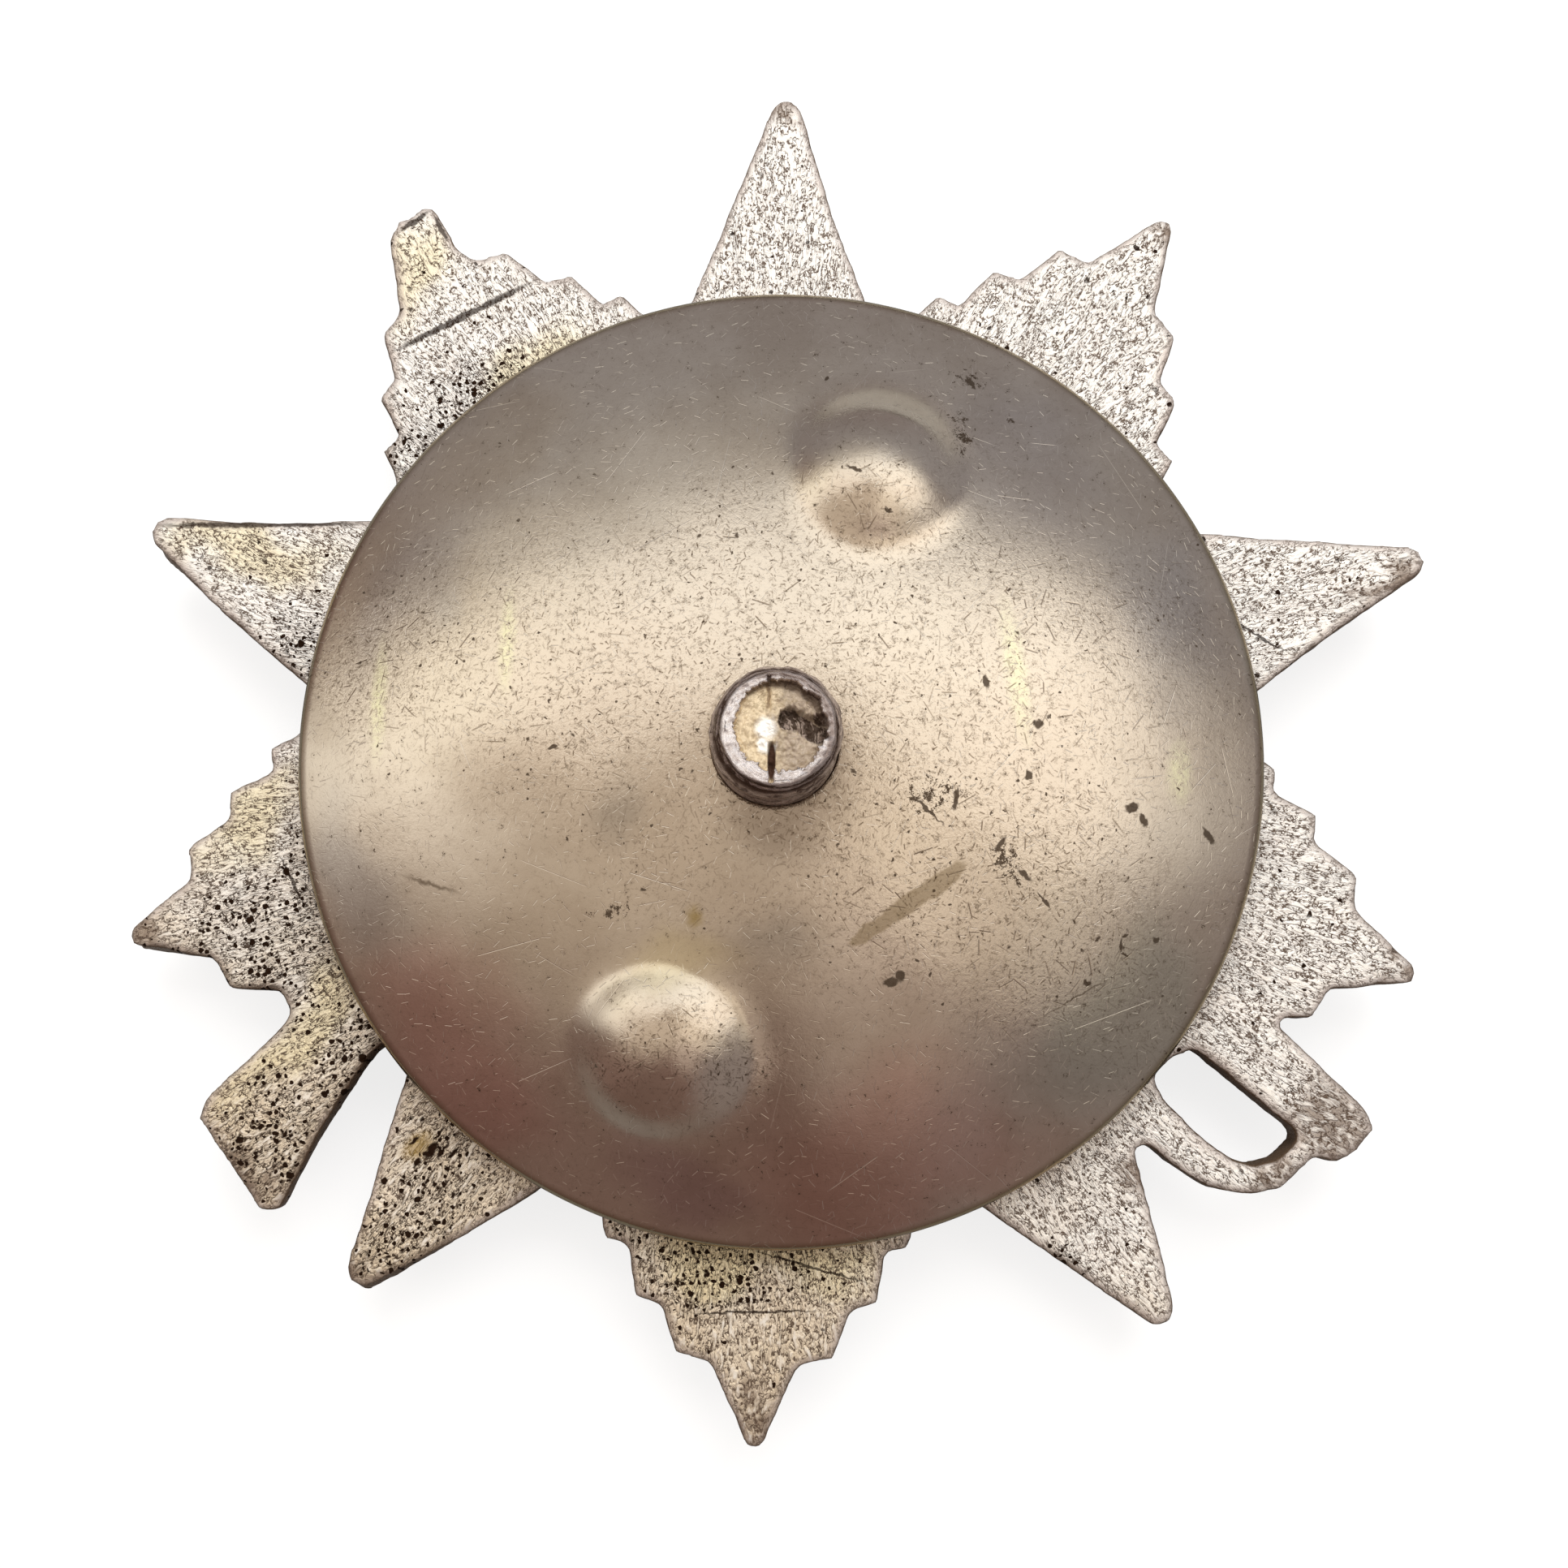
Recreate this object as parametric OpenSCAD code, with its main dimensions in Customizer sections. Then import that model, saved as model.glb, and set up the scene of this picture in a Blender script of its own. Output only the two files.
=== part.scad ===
// Screw-back breast star, lying on its front with its back and its domed nut up.
// Millimetres. The floor is z = 0, +X is to the right, +Y is toward the top point.

/* [Star plate] */
// Radius of the circle through the tips of the five smooth points
point_r = 22.5; // [15:0.5:40]
// Half of the angle of a smooth point at its tip, in degrees
point_half = 21; // [15:0.5:26]
// Rounding radius of a smooth point's tip
point_round = 0.55; // [0.2:0.05:1]
// Radius of the circle through the tips of the five ray bundles
ray_r = 22.5; // [15:0.5:40]
// Rounding radius of a ray bundle's tip
ray_round = 0.35; // [0.1:0.05:1]
// Height of the flat back above the floor
back_z = 3.4; // [2.5:0.1:6]
// Thickness of the plate at its edges
edge_t = 1.4; // [0.8:0.1:2.5]
// Height of the ribs on the front of each ray bundle
rib_h = 0.35; // [0.1:0.05:0.6]
// Height of the rifle and the sabre on the front
weapon_h = 0.5; // [0.2:0.05:0.8]

/* [Enamel cells] */
// Height that the smooth points' cells stand out from the plate's front
cell_h = 0.8; // [0.4:0.1:1.5]
// Distance of a cell's outer wall from the point's edge
cell_inset = 0.4; // [0.2:0.1:1]
// Thickness of a cell's wall
cell_wall = 0.5; // [0.3:0.1:1]
// Depth of the enamel in a cell
enamel_t = 0.5; // [0.2:0.1:1]
// Gap between an enamel piece and the wall of its cell
enamel_gap = 0.02; // [0.01:0.01:0.1]

/* [Belt ring and centre] */
// Outer diameter of the belt ring round the centre
belt_d = 22; // [14:0.5:30]
// Width of the belt's white band
belt_band = 2.1; // [1:0.1:4]
// Width of each metal rim beside the band
belt_rim = 0.65; // [0.3:0.05:1.5]
// Thickness of the band's enamel
belt_t = 0.8; // [0.3:0.1:1.5]
// Radius of the small five-pointed star in the centre
centre_star_r = 6.2; // [3:0.1:7]

/* [Post] */
// Distance of the post from the star's centre along X
post_x = 0.3; // [-1:0.1:1]
// Distance of the post from the star's centre along Y
post_y = -0.4; // [-1:0.1:1]
// Diameter of the post over its thread
post_d = 4; // [2.5:0.1:6]
// Length of the post above the back
post_h = 6.7; // [5:0.1:14]
// Length of the post's plain shank next to the back, turned down to the thread's root
shank_h = 1.15; // [0.8:0.05:3]
// Pitch of the thread
pitch = 0.7; // [0.35:0.05:1]
// Depth of the thread
thread_depth = 0.2; // [0.05:0.05:0.4]
// Diameter of the hollow in the post's end
hollow_d = 3.1; // [1:0.1:4]
// Depth of the hollow in the post's end
hollow_depth = 0.35; // [0.1:0.05:1]
// Width of the slot across the post's end
slot_w = 0.25; // [0.1:0.05:0.6]

/* [Nut] */
// Diameter of the domed disc
disc_d = 31.6; // [20:0.2:40]
// Rise of the dome from its rim to its centre
dome_h = 3.3; // [1:0.1:6]
// Wall thickness of the dome
disc_wall = 0.6; // [0.4:0.1:1.2]
// Height of the rim's upper edge above the star's back
rim_h = 1.2; // [0.8:0.1:3]
// Distance of each thumb bump from the disc's centre
bump_at = 9.7; // [6:0.1:12]
// Diameter of a thumb bump
bump_d = 5.8; // [3:0.1:8]
// Height of a thumb bump above the dome
bump_h = 1; // [0.4:0.1:2]
// Direction of the bumps from the disc's centre, in degrees
bump_angle = 71.5; // [0:0.5:180]
// Outer diameter of the threaded collar under the disc
collar_d = 6.6; // [5:0.1:9]
// Gap between the collar and the star's back
collar_gap = 1.2; // [0.8:0.05:3]

/* [Hidden] */
$fn = 64;
points = 5;
sector = 360 / points;
fuse = 0.2;
front_z = back_z - edge_t;
point_apex = point_r + point_round * (1 / sin(point_half) - 1);

// One half of a ray bundle's outline: [radius, angle from the bundle's axis]
ray_steps = [[19.95, 4], [19.8, 7.2], [18.3, 9.4], [18.2, 12.3], [16.75, 14.3],
    [16.85, 17], [15.95, 18.6], [15.4, 21.3], [14.2, 23.5]];
// The ribs of half a bundle: [tip radius, angle from the bundle's axis]
ray_ribs = [[21.6, 0], [19.2, 5.6], [17.6, 11], [16.2, 16], [14.8, 20.5]];
rib_half = 1.5;
rib_foot = 9;
ray_half = 29;
bundle_foot = 8;

// Corners of the weapons' ends that stand out from the star: [x, y]
butt = [[-8, -5], [-12, -5.5], [-15.5, -9], [-18.3, -12], [-18.45, -12.6],
    [-16.6, -15.2], [-16, -15.25], [-12.9, -10.4], [-9, -7.5]];
hilt = [[11, -5], [14.5, -6.5], [19.7, -11.4], [19.8, -11.9], [19.3, -12.6],
    [18.6, -13], [17.9, -12.85], [16.8, -13.85], [15.8, -14.05], [14.5, -13.9],
    [13.5, -13.3], [12.6, -12.6], [10.5, -13], [8.5, -11]];
hilt_hole = [[13.9, -9.35], [17.3, -12], [17.4, -12.3], [16.7, -12.95], [15.9, -13.15],
    [15.2, -12.95], [14.4, -12.4], [13.15, -11.2], [12.85, -10.7], [12.85, -10.35],
    [13.4, -9.8]];
sabre_tip = [[-13.6, 17.6], [-13.1, 18.15], [-12.9, 18.15], [-12.55, 18.65], [-12.1, 18.65],
    [-11.4, 17.6], [-11, 14.5], [-12.7, 13.5]];
rifle = [[-17.3, -13.6], [12.4, 17.2]];
rifle_w = 1.6;
sabre = [[18.4, -11.6], [-12.3, 17.4]];
sabre_w = 1.4;

belt_r = belt_d / 2;
band_r = belt_r - belt_rim;
band_in = band_r - belt_band;
centre_r = band_in - belt_rim;
belt_drop = 0.1;
floor_z = belt_t + belt_drop;
centre_t = 0.4;
star_t = 0.2;
star_in = 0.4;
cell_z = front_z - cell_h;
cell_foot = 8.5;
cell_floor_r = belt_r + cell_wall;
enamel_drop = 0.05;

post_r = post_d / 2;
end_z = back_z + post_h;
end_chamfer = 0.2;
slot_depth = 0.5;
slot_off = -0.2;
grooves = 3;
groove_w = pitch * 0.6;
groove_from = end_z - end_chamfer - 0.1 - groove_w;

disc_r = disc_d / 2;
rim_z = back_z + rim_h;
apex_z = rim_z + dome_h;
dome_r = (disc_r * disc_r + dome_h * dome_h) / (2 * dome_h);
dome_z = apex_z - dome_r;
rim_edge = 0.5;
rim_cut = rim_z - rim_edge;
bump_r = (bump_d * bump_d / 4 + bump_h * bump_h) / (2 * bump_h);
bump_out = asin(bump_at / dome_r);
bump_centre = dome_r + bump_h - bump_r;
hole_r = post_r + 0.12;
pad_r = 3.7;
pad_t = 1.3;
pad_z = apex_z - pad_t;
neck_r = 2.8;
neck_h = 0.5;
neck_gap = 0.04;
collar_bore = post_r + 0.06;
collar_z = back_z + collar_gap;
seat_gap = 0.02;

function polar(r, a) = [r * cos(a), r * sin(a)];
function mirrored(rows) = [for (i = [len(rows) - 1:-1:0]) [rows[i][0], -rows[i][1]]];
// Points of a rounded tip that points along +X with its end at distance r
function tip(r, half, round, steps = 6) =
    [for (i = [0:steps]) [r - round, 0] + polar(round, (half - 90) * (1 - 2 * i / steps))];

// A smooth point along +X, moved inward from its edges by d
module point_outline(d, foot) {
    apex = point_apex - d / sin(point_half);
    round = max(point_round - d, 0.15);
    end = apex - round * (1 / sin(point_half) - 1);
    half_w = (apex - foot) * tan(point_half);
    polygon(concat([[foot, -half_w]], tip(end, point_half, round), [[foot, half_w]]));
}

// A ray bundle along +X, with its steps on both sides
module bundle_outline() {
    left = [for (row = ray_steps) polar(row[0], row[1])];
    polygon(concat([[bundle_foot, 0]], mirrored(left), tip(ray_r, ray_half, ray_round), left));
}

module at_points() {
    for (i = [0:points - 1]) rotate(90 + i * sector) children();
}

module at_bundles() {
    for (i = [0:points - 1]) rotate(90 + (i + 0.5) * sector) children();
}

module star_outline() {
    at_points() point_outline(0, 0);
    at_bundles() bundle_outline();
    polygon(sabre_tip);
    polygon(butt);
    difference() {
        polygon(hilt);
        polygon(hilt_hole);
    }
    circle(belt_r);
}

// A straight raised bar between two places on the plate's front
module bar(ends, w) {
    along = ends[1] - ends[0];
    translate([ends[0][0], ends[0][1], front_z - weapon_h])
        rotate(atan2(along[1], along[0]))
            translate([0, -w / 2, 0])
                cube([norm(along), w, weapon_h + fuse]);
}

module rib(row, side) {
    rotate(side * row[1])
        polygon([polar(rib_foot, -rib_half), [row[0], 0], polar(rib_foot, rib_half)]);
}

module star_front() {
    translate([0, 0, front_z - rib_h])
        linear_extrude(rib_h + fuse)
            at_bundles()
                for (row = ray_ribs, side = [-1, 1]) rib(row, side);
    bar(rifle, rifle_w);
    bar(sabre, sabre_w);
    translate([0, 0, cell_z])
        linear_extrude(cell_h + fuse)
            at_points() point_outline(cell_inset, cell_foot);
    cylinder(h = front_z + fuse, r = belt_r);
}

module enamel_cells() {
    translate([0, 0, cell_z - fuse])
        linear_extrude(enamel_t + fuse)
            at_points() point_outline(cell_inset + cell_wall, cell_floor_r);
    translate([0, 0, -fuse])
        difference() {
            cylinder(h = floor_z + fuse, r = band_r);
            cylinder(h = floor_z + fuse, r = band_in);
        }
    translate([0, 0, -fuse]) cylinder(h = floor_z + fuse, r = centre_r);
}

module post() {
    translate([post_x, post_y, 0])
        difference() {
            union() {
                translate([0, 0, back_z - fuse])
                    cylinder(h = shank_h + 2 * fuse, r = post_r - thread_depth);
                translate([0, 0, back_z + shank_h])
                    cylinder(h = post_h - shank_h - end_chamfer, r = post_r);
                translate([0, 0, end_z - end_chamfer])
                    cylinder(h = end_chamfer, r1 = post_r, r2 = post_r - end_chamfer);
            }
            for (i = [0:grooves - 1])
                translate([0, 0, groove_from - i * pitch])
                    rotate_extrude()
                        polygon([[post_r - thread_depth, groove_w / 2], [post_r + fuse, -fuse],
                            [post_r + fuse, groove_w + fuse]]);
            translate([0, 0, end_z - hollow_depth])
                cylinder(h = hollow_depth + fuse, d = hollow_d);
            translate([slot_off - slot_w / 2, -post_r - fuse, end_z - slot_depth])
                cube([slot_w, post_d + 2 * fuse, slot_depth + fuse]);
        }
}

// Stamped and soldered metal: plate, cell walls, belt rims, weapons and screw post
module star_plate() {
    color("silver") {
        difference() {
            union() {
                translate([0, 0, front_z]) linear_extrude(edge_t) star_outline();
                star_front();
            }
            enamel_cells();
        }
        post();
    }
}

module enamel_point(i) {
    color("darkred")
        rotate(90 + i * sector)
            translate([0, 0, cell_z + enamel_drop])
                linear_extrude(enamel_t - enamel_drop - enamel_gap)
                    point_outline(cell_inset + cell_wall + enamel_gap, cell_floor_r + enamel_gap);
}

module belt_enamel() {
    color("white")
        translate([0, 0, floor_z - enamel_gap - belt_t])
            difference() {
                cylinder(h = belt_t, r = band_r - enamel_gap);
                translate([0, 0, -fuse])
                    cylinder(h = belt_t + 2 * fuse, r = band_in + enamel_gap);
            }
}

module centre_enamel() {
    color("maroon")
        translate([0, 0, floor_z - enamel_gap - centre_t])
            cylinder(h = centre_t, r = centre_r - enamel_gap);
}

// A plain five-pointed star on the centre's enamel
module centre_star() {
    color("gold")
        translate([0, 0, floor_z - centre_t - 2 * enamel_gap - star_t])
            linear_extrude(star_t)
                polygon([for (i = [0:2 * points - 1])
                    polar(centre_star_r * (i % 2 == 0 ? 1 : star_in), 90 + i * sector / 2)]);
}

module nut_collar() {
    body_h = pad_z - seat_gap - collar_z;
    color("tan")
        translate([post_x, post_y, collar_z])
            difference() {
                union() {
                    cylinder(h = body_h, d = collar_d);
                    cylinder(h = body_h + neck_h, r = neck_r);
                }
                translate([0, 0, -fuse]) cylinder(h = body_h + neck_h + 2 * fuse, r = collar_bore);
            }
}

module bump_ball(r) {
    for (side = [0, 180])
        rotate(bump_angle + side)
            rotate([0, bump_out, 0])
                translate([0, 0, bump_centre]) sphere(r);
}

module nut_disc() {
    color("gainsboro")
        translate([post_x, post_y, 0])
            difference() {
                intersection() {
                    translate([0, 0, dome_z]) {
                        sphere(dome_r);
                        bump_ball(bump_r);
                    }
                    translate([0, 0, rim_cut]) cylinder(h = 2 * dome_h + bump_h, r = disc_r);
                }
                difference() {
                    translate([0, 0, dome_z]) {
                        sphere(dome_r - disc_wall);
                        bump_ball(bump_r - disc_wall);
                    }
                    translate([0, 0, pad_z]) cylinder(h = 2 * dome_h, r = pad_r);
                }
                translate([0, 0, rim_cut - fuse]) cylinder(h = 3 * dome_h, r = hole_r);
                translate([0, 0, pad_z - fuse])
                    cylinder(h = neck_h + fuse + seat_gap, r = neck_r + neck_gap);
            }
}

star_plate();
enamel_point(0);  // enamel_point_1
enamel_point(1);  // enamel_point_2
enamel_point(2);  // enamel_point_3
enamel_point(3);  // enamel_point_4
enamel_point(4);  // enamel_point_5
belt_enamel();
centre_enamel();
centre_star();
nut_collar();
nut_disc();
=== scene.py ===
"""A screw-back breast star lying on its front: silver star, slotted screw post and large domed nut."""

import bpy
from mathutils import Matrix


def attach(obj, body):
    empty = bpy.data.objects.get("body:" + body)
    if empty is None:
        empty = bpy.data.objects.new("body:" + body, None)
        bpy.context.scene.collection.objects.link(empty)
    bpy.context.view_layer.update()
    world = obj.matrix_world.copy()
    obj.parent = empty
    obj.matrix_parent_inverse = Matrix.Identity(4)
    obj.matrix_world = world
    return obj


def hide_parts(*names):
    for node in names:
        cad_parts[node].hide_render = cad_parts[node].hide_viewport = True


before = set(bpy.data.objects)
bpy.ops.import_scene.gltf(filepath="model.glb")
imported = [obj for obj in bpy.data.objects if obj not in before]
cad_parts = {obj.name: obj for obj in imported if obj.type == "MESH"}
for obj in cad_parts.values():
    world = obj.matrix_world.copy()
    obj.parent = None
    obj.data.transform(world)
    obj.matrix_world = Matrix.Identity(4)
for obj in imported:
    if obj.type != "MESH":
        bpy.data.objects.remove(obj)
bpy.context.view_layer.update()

import logging
import math
from dataclasses import dataclass
from enum import Enum

import bpy
import numpy as np
from bpy.types import Material, Node, NodeSocket, NodeTree, Object
from mathutils import Matrix, Vector, noise
from mathutils.kdtree import KDTree

MM = 0.001
LOG = logging.getLogger("breast_star")
Rows = list[tuple[float, float]]
Colour = tuple[float, float, float, float]
# the star's marks for its material: tarnish and wear, and with them painted shade towards the lower left
TARNISH = ("yellowed", "browned", "pitted", "edge_worn", "aged")
# the screw's axis, as (x, y), and the height of its end, in millimetres
AXIS = (0.3, -0.4)
END_Z = 10.1
# a distance past every patch's edge, in its radii
FAR = 9.0


class Body(Enum):
    """The bodies of the frame that a piece can ride on."""

    STAR = "star"
    COLLAR = "collar"
    DISC = "disc"


class Slot(Enum):
    """The record's material slots for the new pieces, which hand_over is given but doesn't use."""

    SILVER = "star_silver"
    NUT = "nut_metal"


def srgb(code: str) -> Colour:
    """Turns an sRGB hex colour into linear light.

    Args:
        code: The colour as "#RRGGBB".

    Returns:
        Red, green, blue and alpha, as a node's colour input takes them.
    """
    parts = [int(code[i:i + 2], 16) / 255 for i in (1, 3, 5)]
    linear = [c / 12.92 if c <= 0.04045 else ((c + 0.055) / 1.055) ** 2.4 for c in parts]
    return linear[0], linear[1], linear[2], 1.0


@dataclass(frozen=True)
class Patch:
    """An oval place on a face, in millimetres, where a mark or a stain lies."""

    x: float
    y: float
    rx: float
    ry: float
    turn: float = 0.0

    def way(self) -> tuple[float, float]:
        """Gives the cosine and the sine of the oval's turn."""
        return math.cos(math.radians(self.turn)), math.sin(math.radians(self.turn))


def ovals(*rows: tuple[float, ...]) -> tuple[Patch, ...]:
    """Makes patches from rows of x, y, both radii and, where it has one, the turn."""
    return tuple(Patch(*row) for row in rows)


class Graph:
    """A node tree while it is filled: a material's or the world's."""

    def __init__(self, tree: NodeTree) -> None:
        """Empties the tree."""
        self.tree = tree
        tree.nodes.clear()

    def add(self, kind: str, sources: dict | tuple = (), **settings: object) -> Node:
        """Adds a node with its settings, values and links.

        Args:
            kind: The node's type, without "ShaderNode".
            sources: Each input's source, by name, number or order: a node, a socket or a value.
            settings: The node's own settings.

        Returns:
            The new node.
        """
        node = self.tree.nodes.new("ShaderNode" + kind)
        for name, value in settings.items():
            setattr(node, name, value)
        for key, value in sources.items() if isinstance(sources, dict) else enumerate(sources):
            if isinstance(value, Node):
                value = value.outputs[2 if value.bl_idname == "ShaderNodeMix" else 0]
            if isinstance(value, NodeSocket):
                self.tree.links.new(value, node.inputs[key])
            else:
                node.inputs[key].default_value = value
        return node

    def object_mm(self) -> Node:
        """Gives the object's own coordinates in millimetres."""
        place = self.add("TexCoord").outputs["Object"]
        return self.add("VectorMath", (place, (1 / MM,) * 3), operation="MULTIPLY")

    def warped(self, place: Node, size: float, amount: float) -> Node:
        """Shifts coordinates by soft noise, so that what is drawn on them has uneven edges.

        Args:
            place: The coordinates, in millimetres.
            size: The noise's size in millimetres.
            amount: The largest shift in millimetres.

        Returns:
            The shifted coordinates.
        """
        wobble = self.add("TexNoise", {"Vector": place, "Scale": 1 / size, "Detail": 2.0})
        middle = self.add("VectorMath", (wobble.outputs["Color"], (0.5,) * 3), operation="SUBTRACT")
        shift = self.add("VectorMath", (middle, (2 * amount,) * 3), operation="MULTIPLY")
        return self.add("VectorMath", (place, shift), operation="ADD")

    def math(self, operation: str, *values: object) -> Node:
        """Works out a sum of values from the left, two at a time; MULTIPLY_ADD takes three at once.

        Args:
            operation: The sum's kind, as Blender names it.
            values: Its values: nodes, sockets or numbers.

        Returns:
            The node with the result.
        """
        if len(values) < 3 or operation == "MULTIPLY_ADD":
            return self.add("Math", values, operation=operation)
        return self.math(operation, self.math(operation, *values[:2]), *values[2:])

    def step(self, value: object, low: float, high: float) -> Node:
        """Goes smoothly from 0 to 1.

        Args:
            value: What the step follows.
            low: Where it is 0. It may be the larger.
            high: Where it is 1.

        Returns:
            The node with the step.
        """
        rising = low < high
        ends = {"From Min": min(low, high), "From Max": max(low, high),
                "To Min": 0.0 if rising else 1.0, "To Max": 1.0 if rising else 0.0}
        return self.add("MapRange", {"Value": value, **ends}, interpolation_type="SMOOTHSTEP")

    def distance_from(self, place: object, patch: Patch) -> Node:
        """Gives the distance from a patch's middle, where 1 is its edge.

        Args:
            place: The coordinates, in the patch's units.
            patch: The oval place.

        Returns:
            The socket with the distance.
        """
        away = self.add("VectorMath", (place, (patch.x, patch.y, 0)), operation="SUBTRACT")
        if patch.turn:
            c, s = patch.way()
            sides = (c / patch.rx, s / patch.rx, 0), (-s / patch.ry, c / patch.ry, 0)
            dots = (self.add("VectorMath", (away, side), operation="DOT_PRODUCT") for side in sides)
            local = self.add("CombineXYZ", tuple(dot.outputs["Value"] for dot in dots))
        else:
            local = self.add("VectorMath", (away, (1 / patch.rx, 1 / patch.ry, 0)), operation="MULTIPLY")
        return self.add("VectorMath", (local,), operation="LENGTH").outputs["Value"]

    def marks(self, place: object, patches: tuple[Patch, ...], edge: float = 0.7) -> Node:
        """Gives 1 inside any of the patches and 0 outside, with an edge as soft as is asked.

        Args:
            place: The coordinates, in millimetres.
            patches: The oval places.
            edge: Where the fall to 0 starts, as a share of the oval's radius.

        Returns:
            The node whose value is the largest of the patches' values.
        """
        nearest = self.math("MINIMUM", FAR, *(self.distance_from(place, patch) for patch in patches))
        return self.step(nearest, 1.0, edge)

    def coats(self, under: object, *layers: tuple[object, float, object]) -> Node:
        """Lays colours over one another, each where its mask is.

        Args:
            under: The lowest colour, as a hex code or a node.
            layers: Each coat's mask, the mask's strength and the colour, from below.

        Returns:
            The node with the outermost colour.
        """
        under = srgb(under) if isinstance(under, str) else under
        for mask, strength, over in layers:
            factor = mask if strength == 1 else self.math("MULTIPLY", mask, strength)
            over = srgb(over) if isinstance(over, str) else over
            under = self.add("Mix", {0: factor, 6: under, 7: over}, data_type="RGBA")
        return under

    def from_axis(self, place: object) -> NodeSocket:
        """Gives the distance from the screw's axis in millimetres."""
        flat = self.add("VectorMath", (place, (1, 1, 0)), operation="MULTIPLY")
        return self.add("VectorMath", (flat, (*AXIS, 0)), operation="DISTANCE").outputs["Value"]

    def pits(self, place: object, cell: float, radius: float, crowd: object) -> Node:
        """Scatters round pits of mixed sizes.

        Args:
            place: The coordinates, in millimetres.
            cell: The size of the cells that hold one pit each, in millimetres.
            radius: The largest pit's radius, as a share of a cell.
            crowd: The share of the cells that have a pit.

        Returns:
            1 in a pit and 0 beside it.
        """
        cells = self.add("TexVoronoi", {"Vector": place, "Scale": 1 / cell}, voronoi_dimensions="2D")
        random = self.add("SeparateColor", (cells.outputs["Color"],))
        there = self.step(self.math("SUBTRACT", crowd, random.outputs[0]), 0.0, 0.03)
        size = self.math("MULTIPLY", radius, self.math("MULTIPLY_ADD", random.outputs[1], 0.65, 0.35))
        depth = self.math("SUBTRACT", size, cells.outputs["Distance"])
        return self.math("MULTIPLY", there, self.step(depth, 0.0, 0.05))

    def scratches(self, place: object, cell: float, length: float, width: float, seed: float) -> Node:
        """Draws short thin scratches that run every way, one in each cell of a Voronoi pattern.

        Args:
            place: The coordinates, in millimetres.
            cell: The mean distance between scratches in millimetres.
            length: Half of the longest scratch's length.
            width: Half of a scratch's width.
            seed: A shift that gives each layer its own pattern.

        Returns:
            1 on a scratch and 0 beside it.
        """
        shifted = self.add("VectorMath", (place, (seed, -seed * 0.7, 0)), operation="ADD")
        cells = self.add("TexVoronoi", {"Vector": shifted, "Scale": 1 / cell}, voronoi_dimensions="2D")
        local = self.add("VectorMath", (shifted, cells.outputs["Position"]), operation="SUBTRACT")
        random = self.add("SeparateColor", (cells.outputs["Color"],))
        turned = self.add("VectorRotate", {
            "Vector": local, "Angle": self.math("MULTIPLY", random.outputs[0], 2 * math.pi)},
            rotation_type="Z_AXIS")
        axes = self.add("SeparateXYZ", (turned,))
        line = self.step(self.math("ABSOLUTE", axes.outputs[1]), width, width * 0.2)
        reach = self.math("MULTIPLY", random.outputs[1], length)
        past = self.math("SUBTRACT", self.math("ABSOLUTE", axes.outputs[0]), reach)
        along = self.step(past, 0.0, -0.25 * length)
        faint = self.math("POWER", random.outputs[2], 1.5)
        return self.math("MULTIPLY", line, along, faint)


@dataclass(frozen=True)
class Finish:
    """What every finish has: a name, and the way from what it paints to a material."""

    name: str

    def paint(self, g: Graph, place: Node) -> dict[str, object]:
        """Draws the finish. Every kind of finish has its own way.

        Args:
            g: The material's graph.
            place: The piece's own coordinates, in millimetres.

        Returns:
            The shader's sources by input, and as "Height" the relief in millimetres.
        """
        raise NotImplementedError

    def build(self) -> Material:
        """Makes the material: what the finish paints, on a shader, with its height as a relief.

        Returns:
            The material.
        """
        material = bpy.data.materials.new(self.name)
        material.use_nodes = True
        g = Graph(material.node_tree)
        look = self.paint(g, g.object_mm())
        relief = {"Height": look.pop("Height"), "Distance": MM, "Strength": look.pop("Strength", 1.0)}
        shader = g.add("BsdfPrincipled", {**look, "Normal": g.add("Bump", relief)})
        g.add("OutputMaterial", (shader,))
        return material


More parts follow.
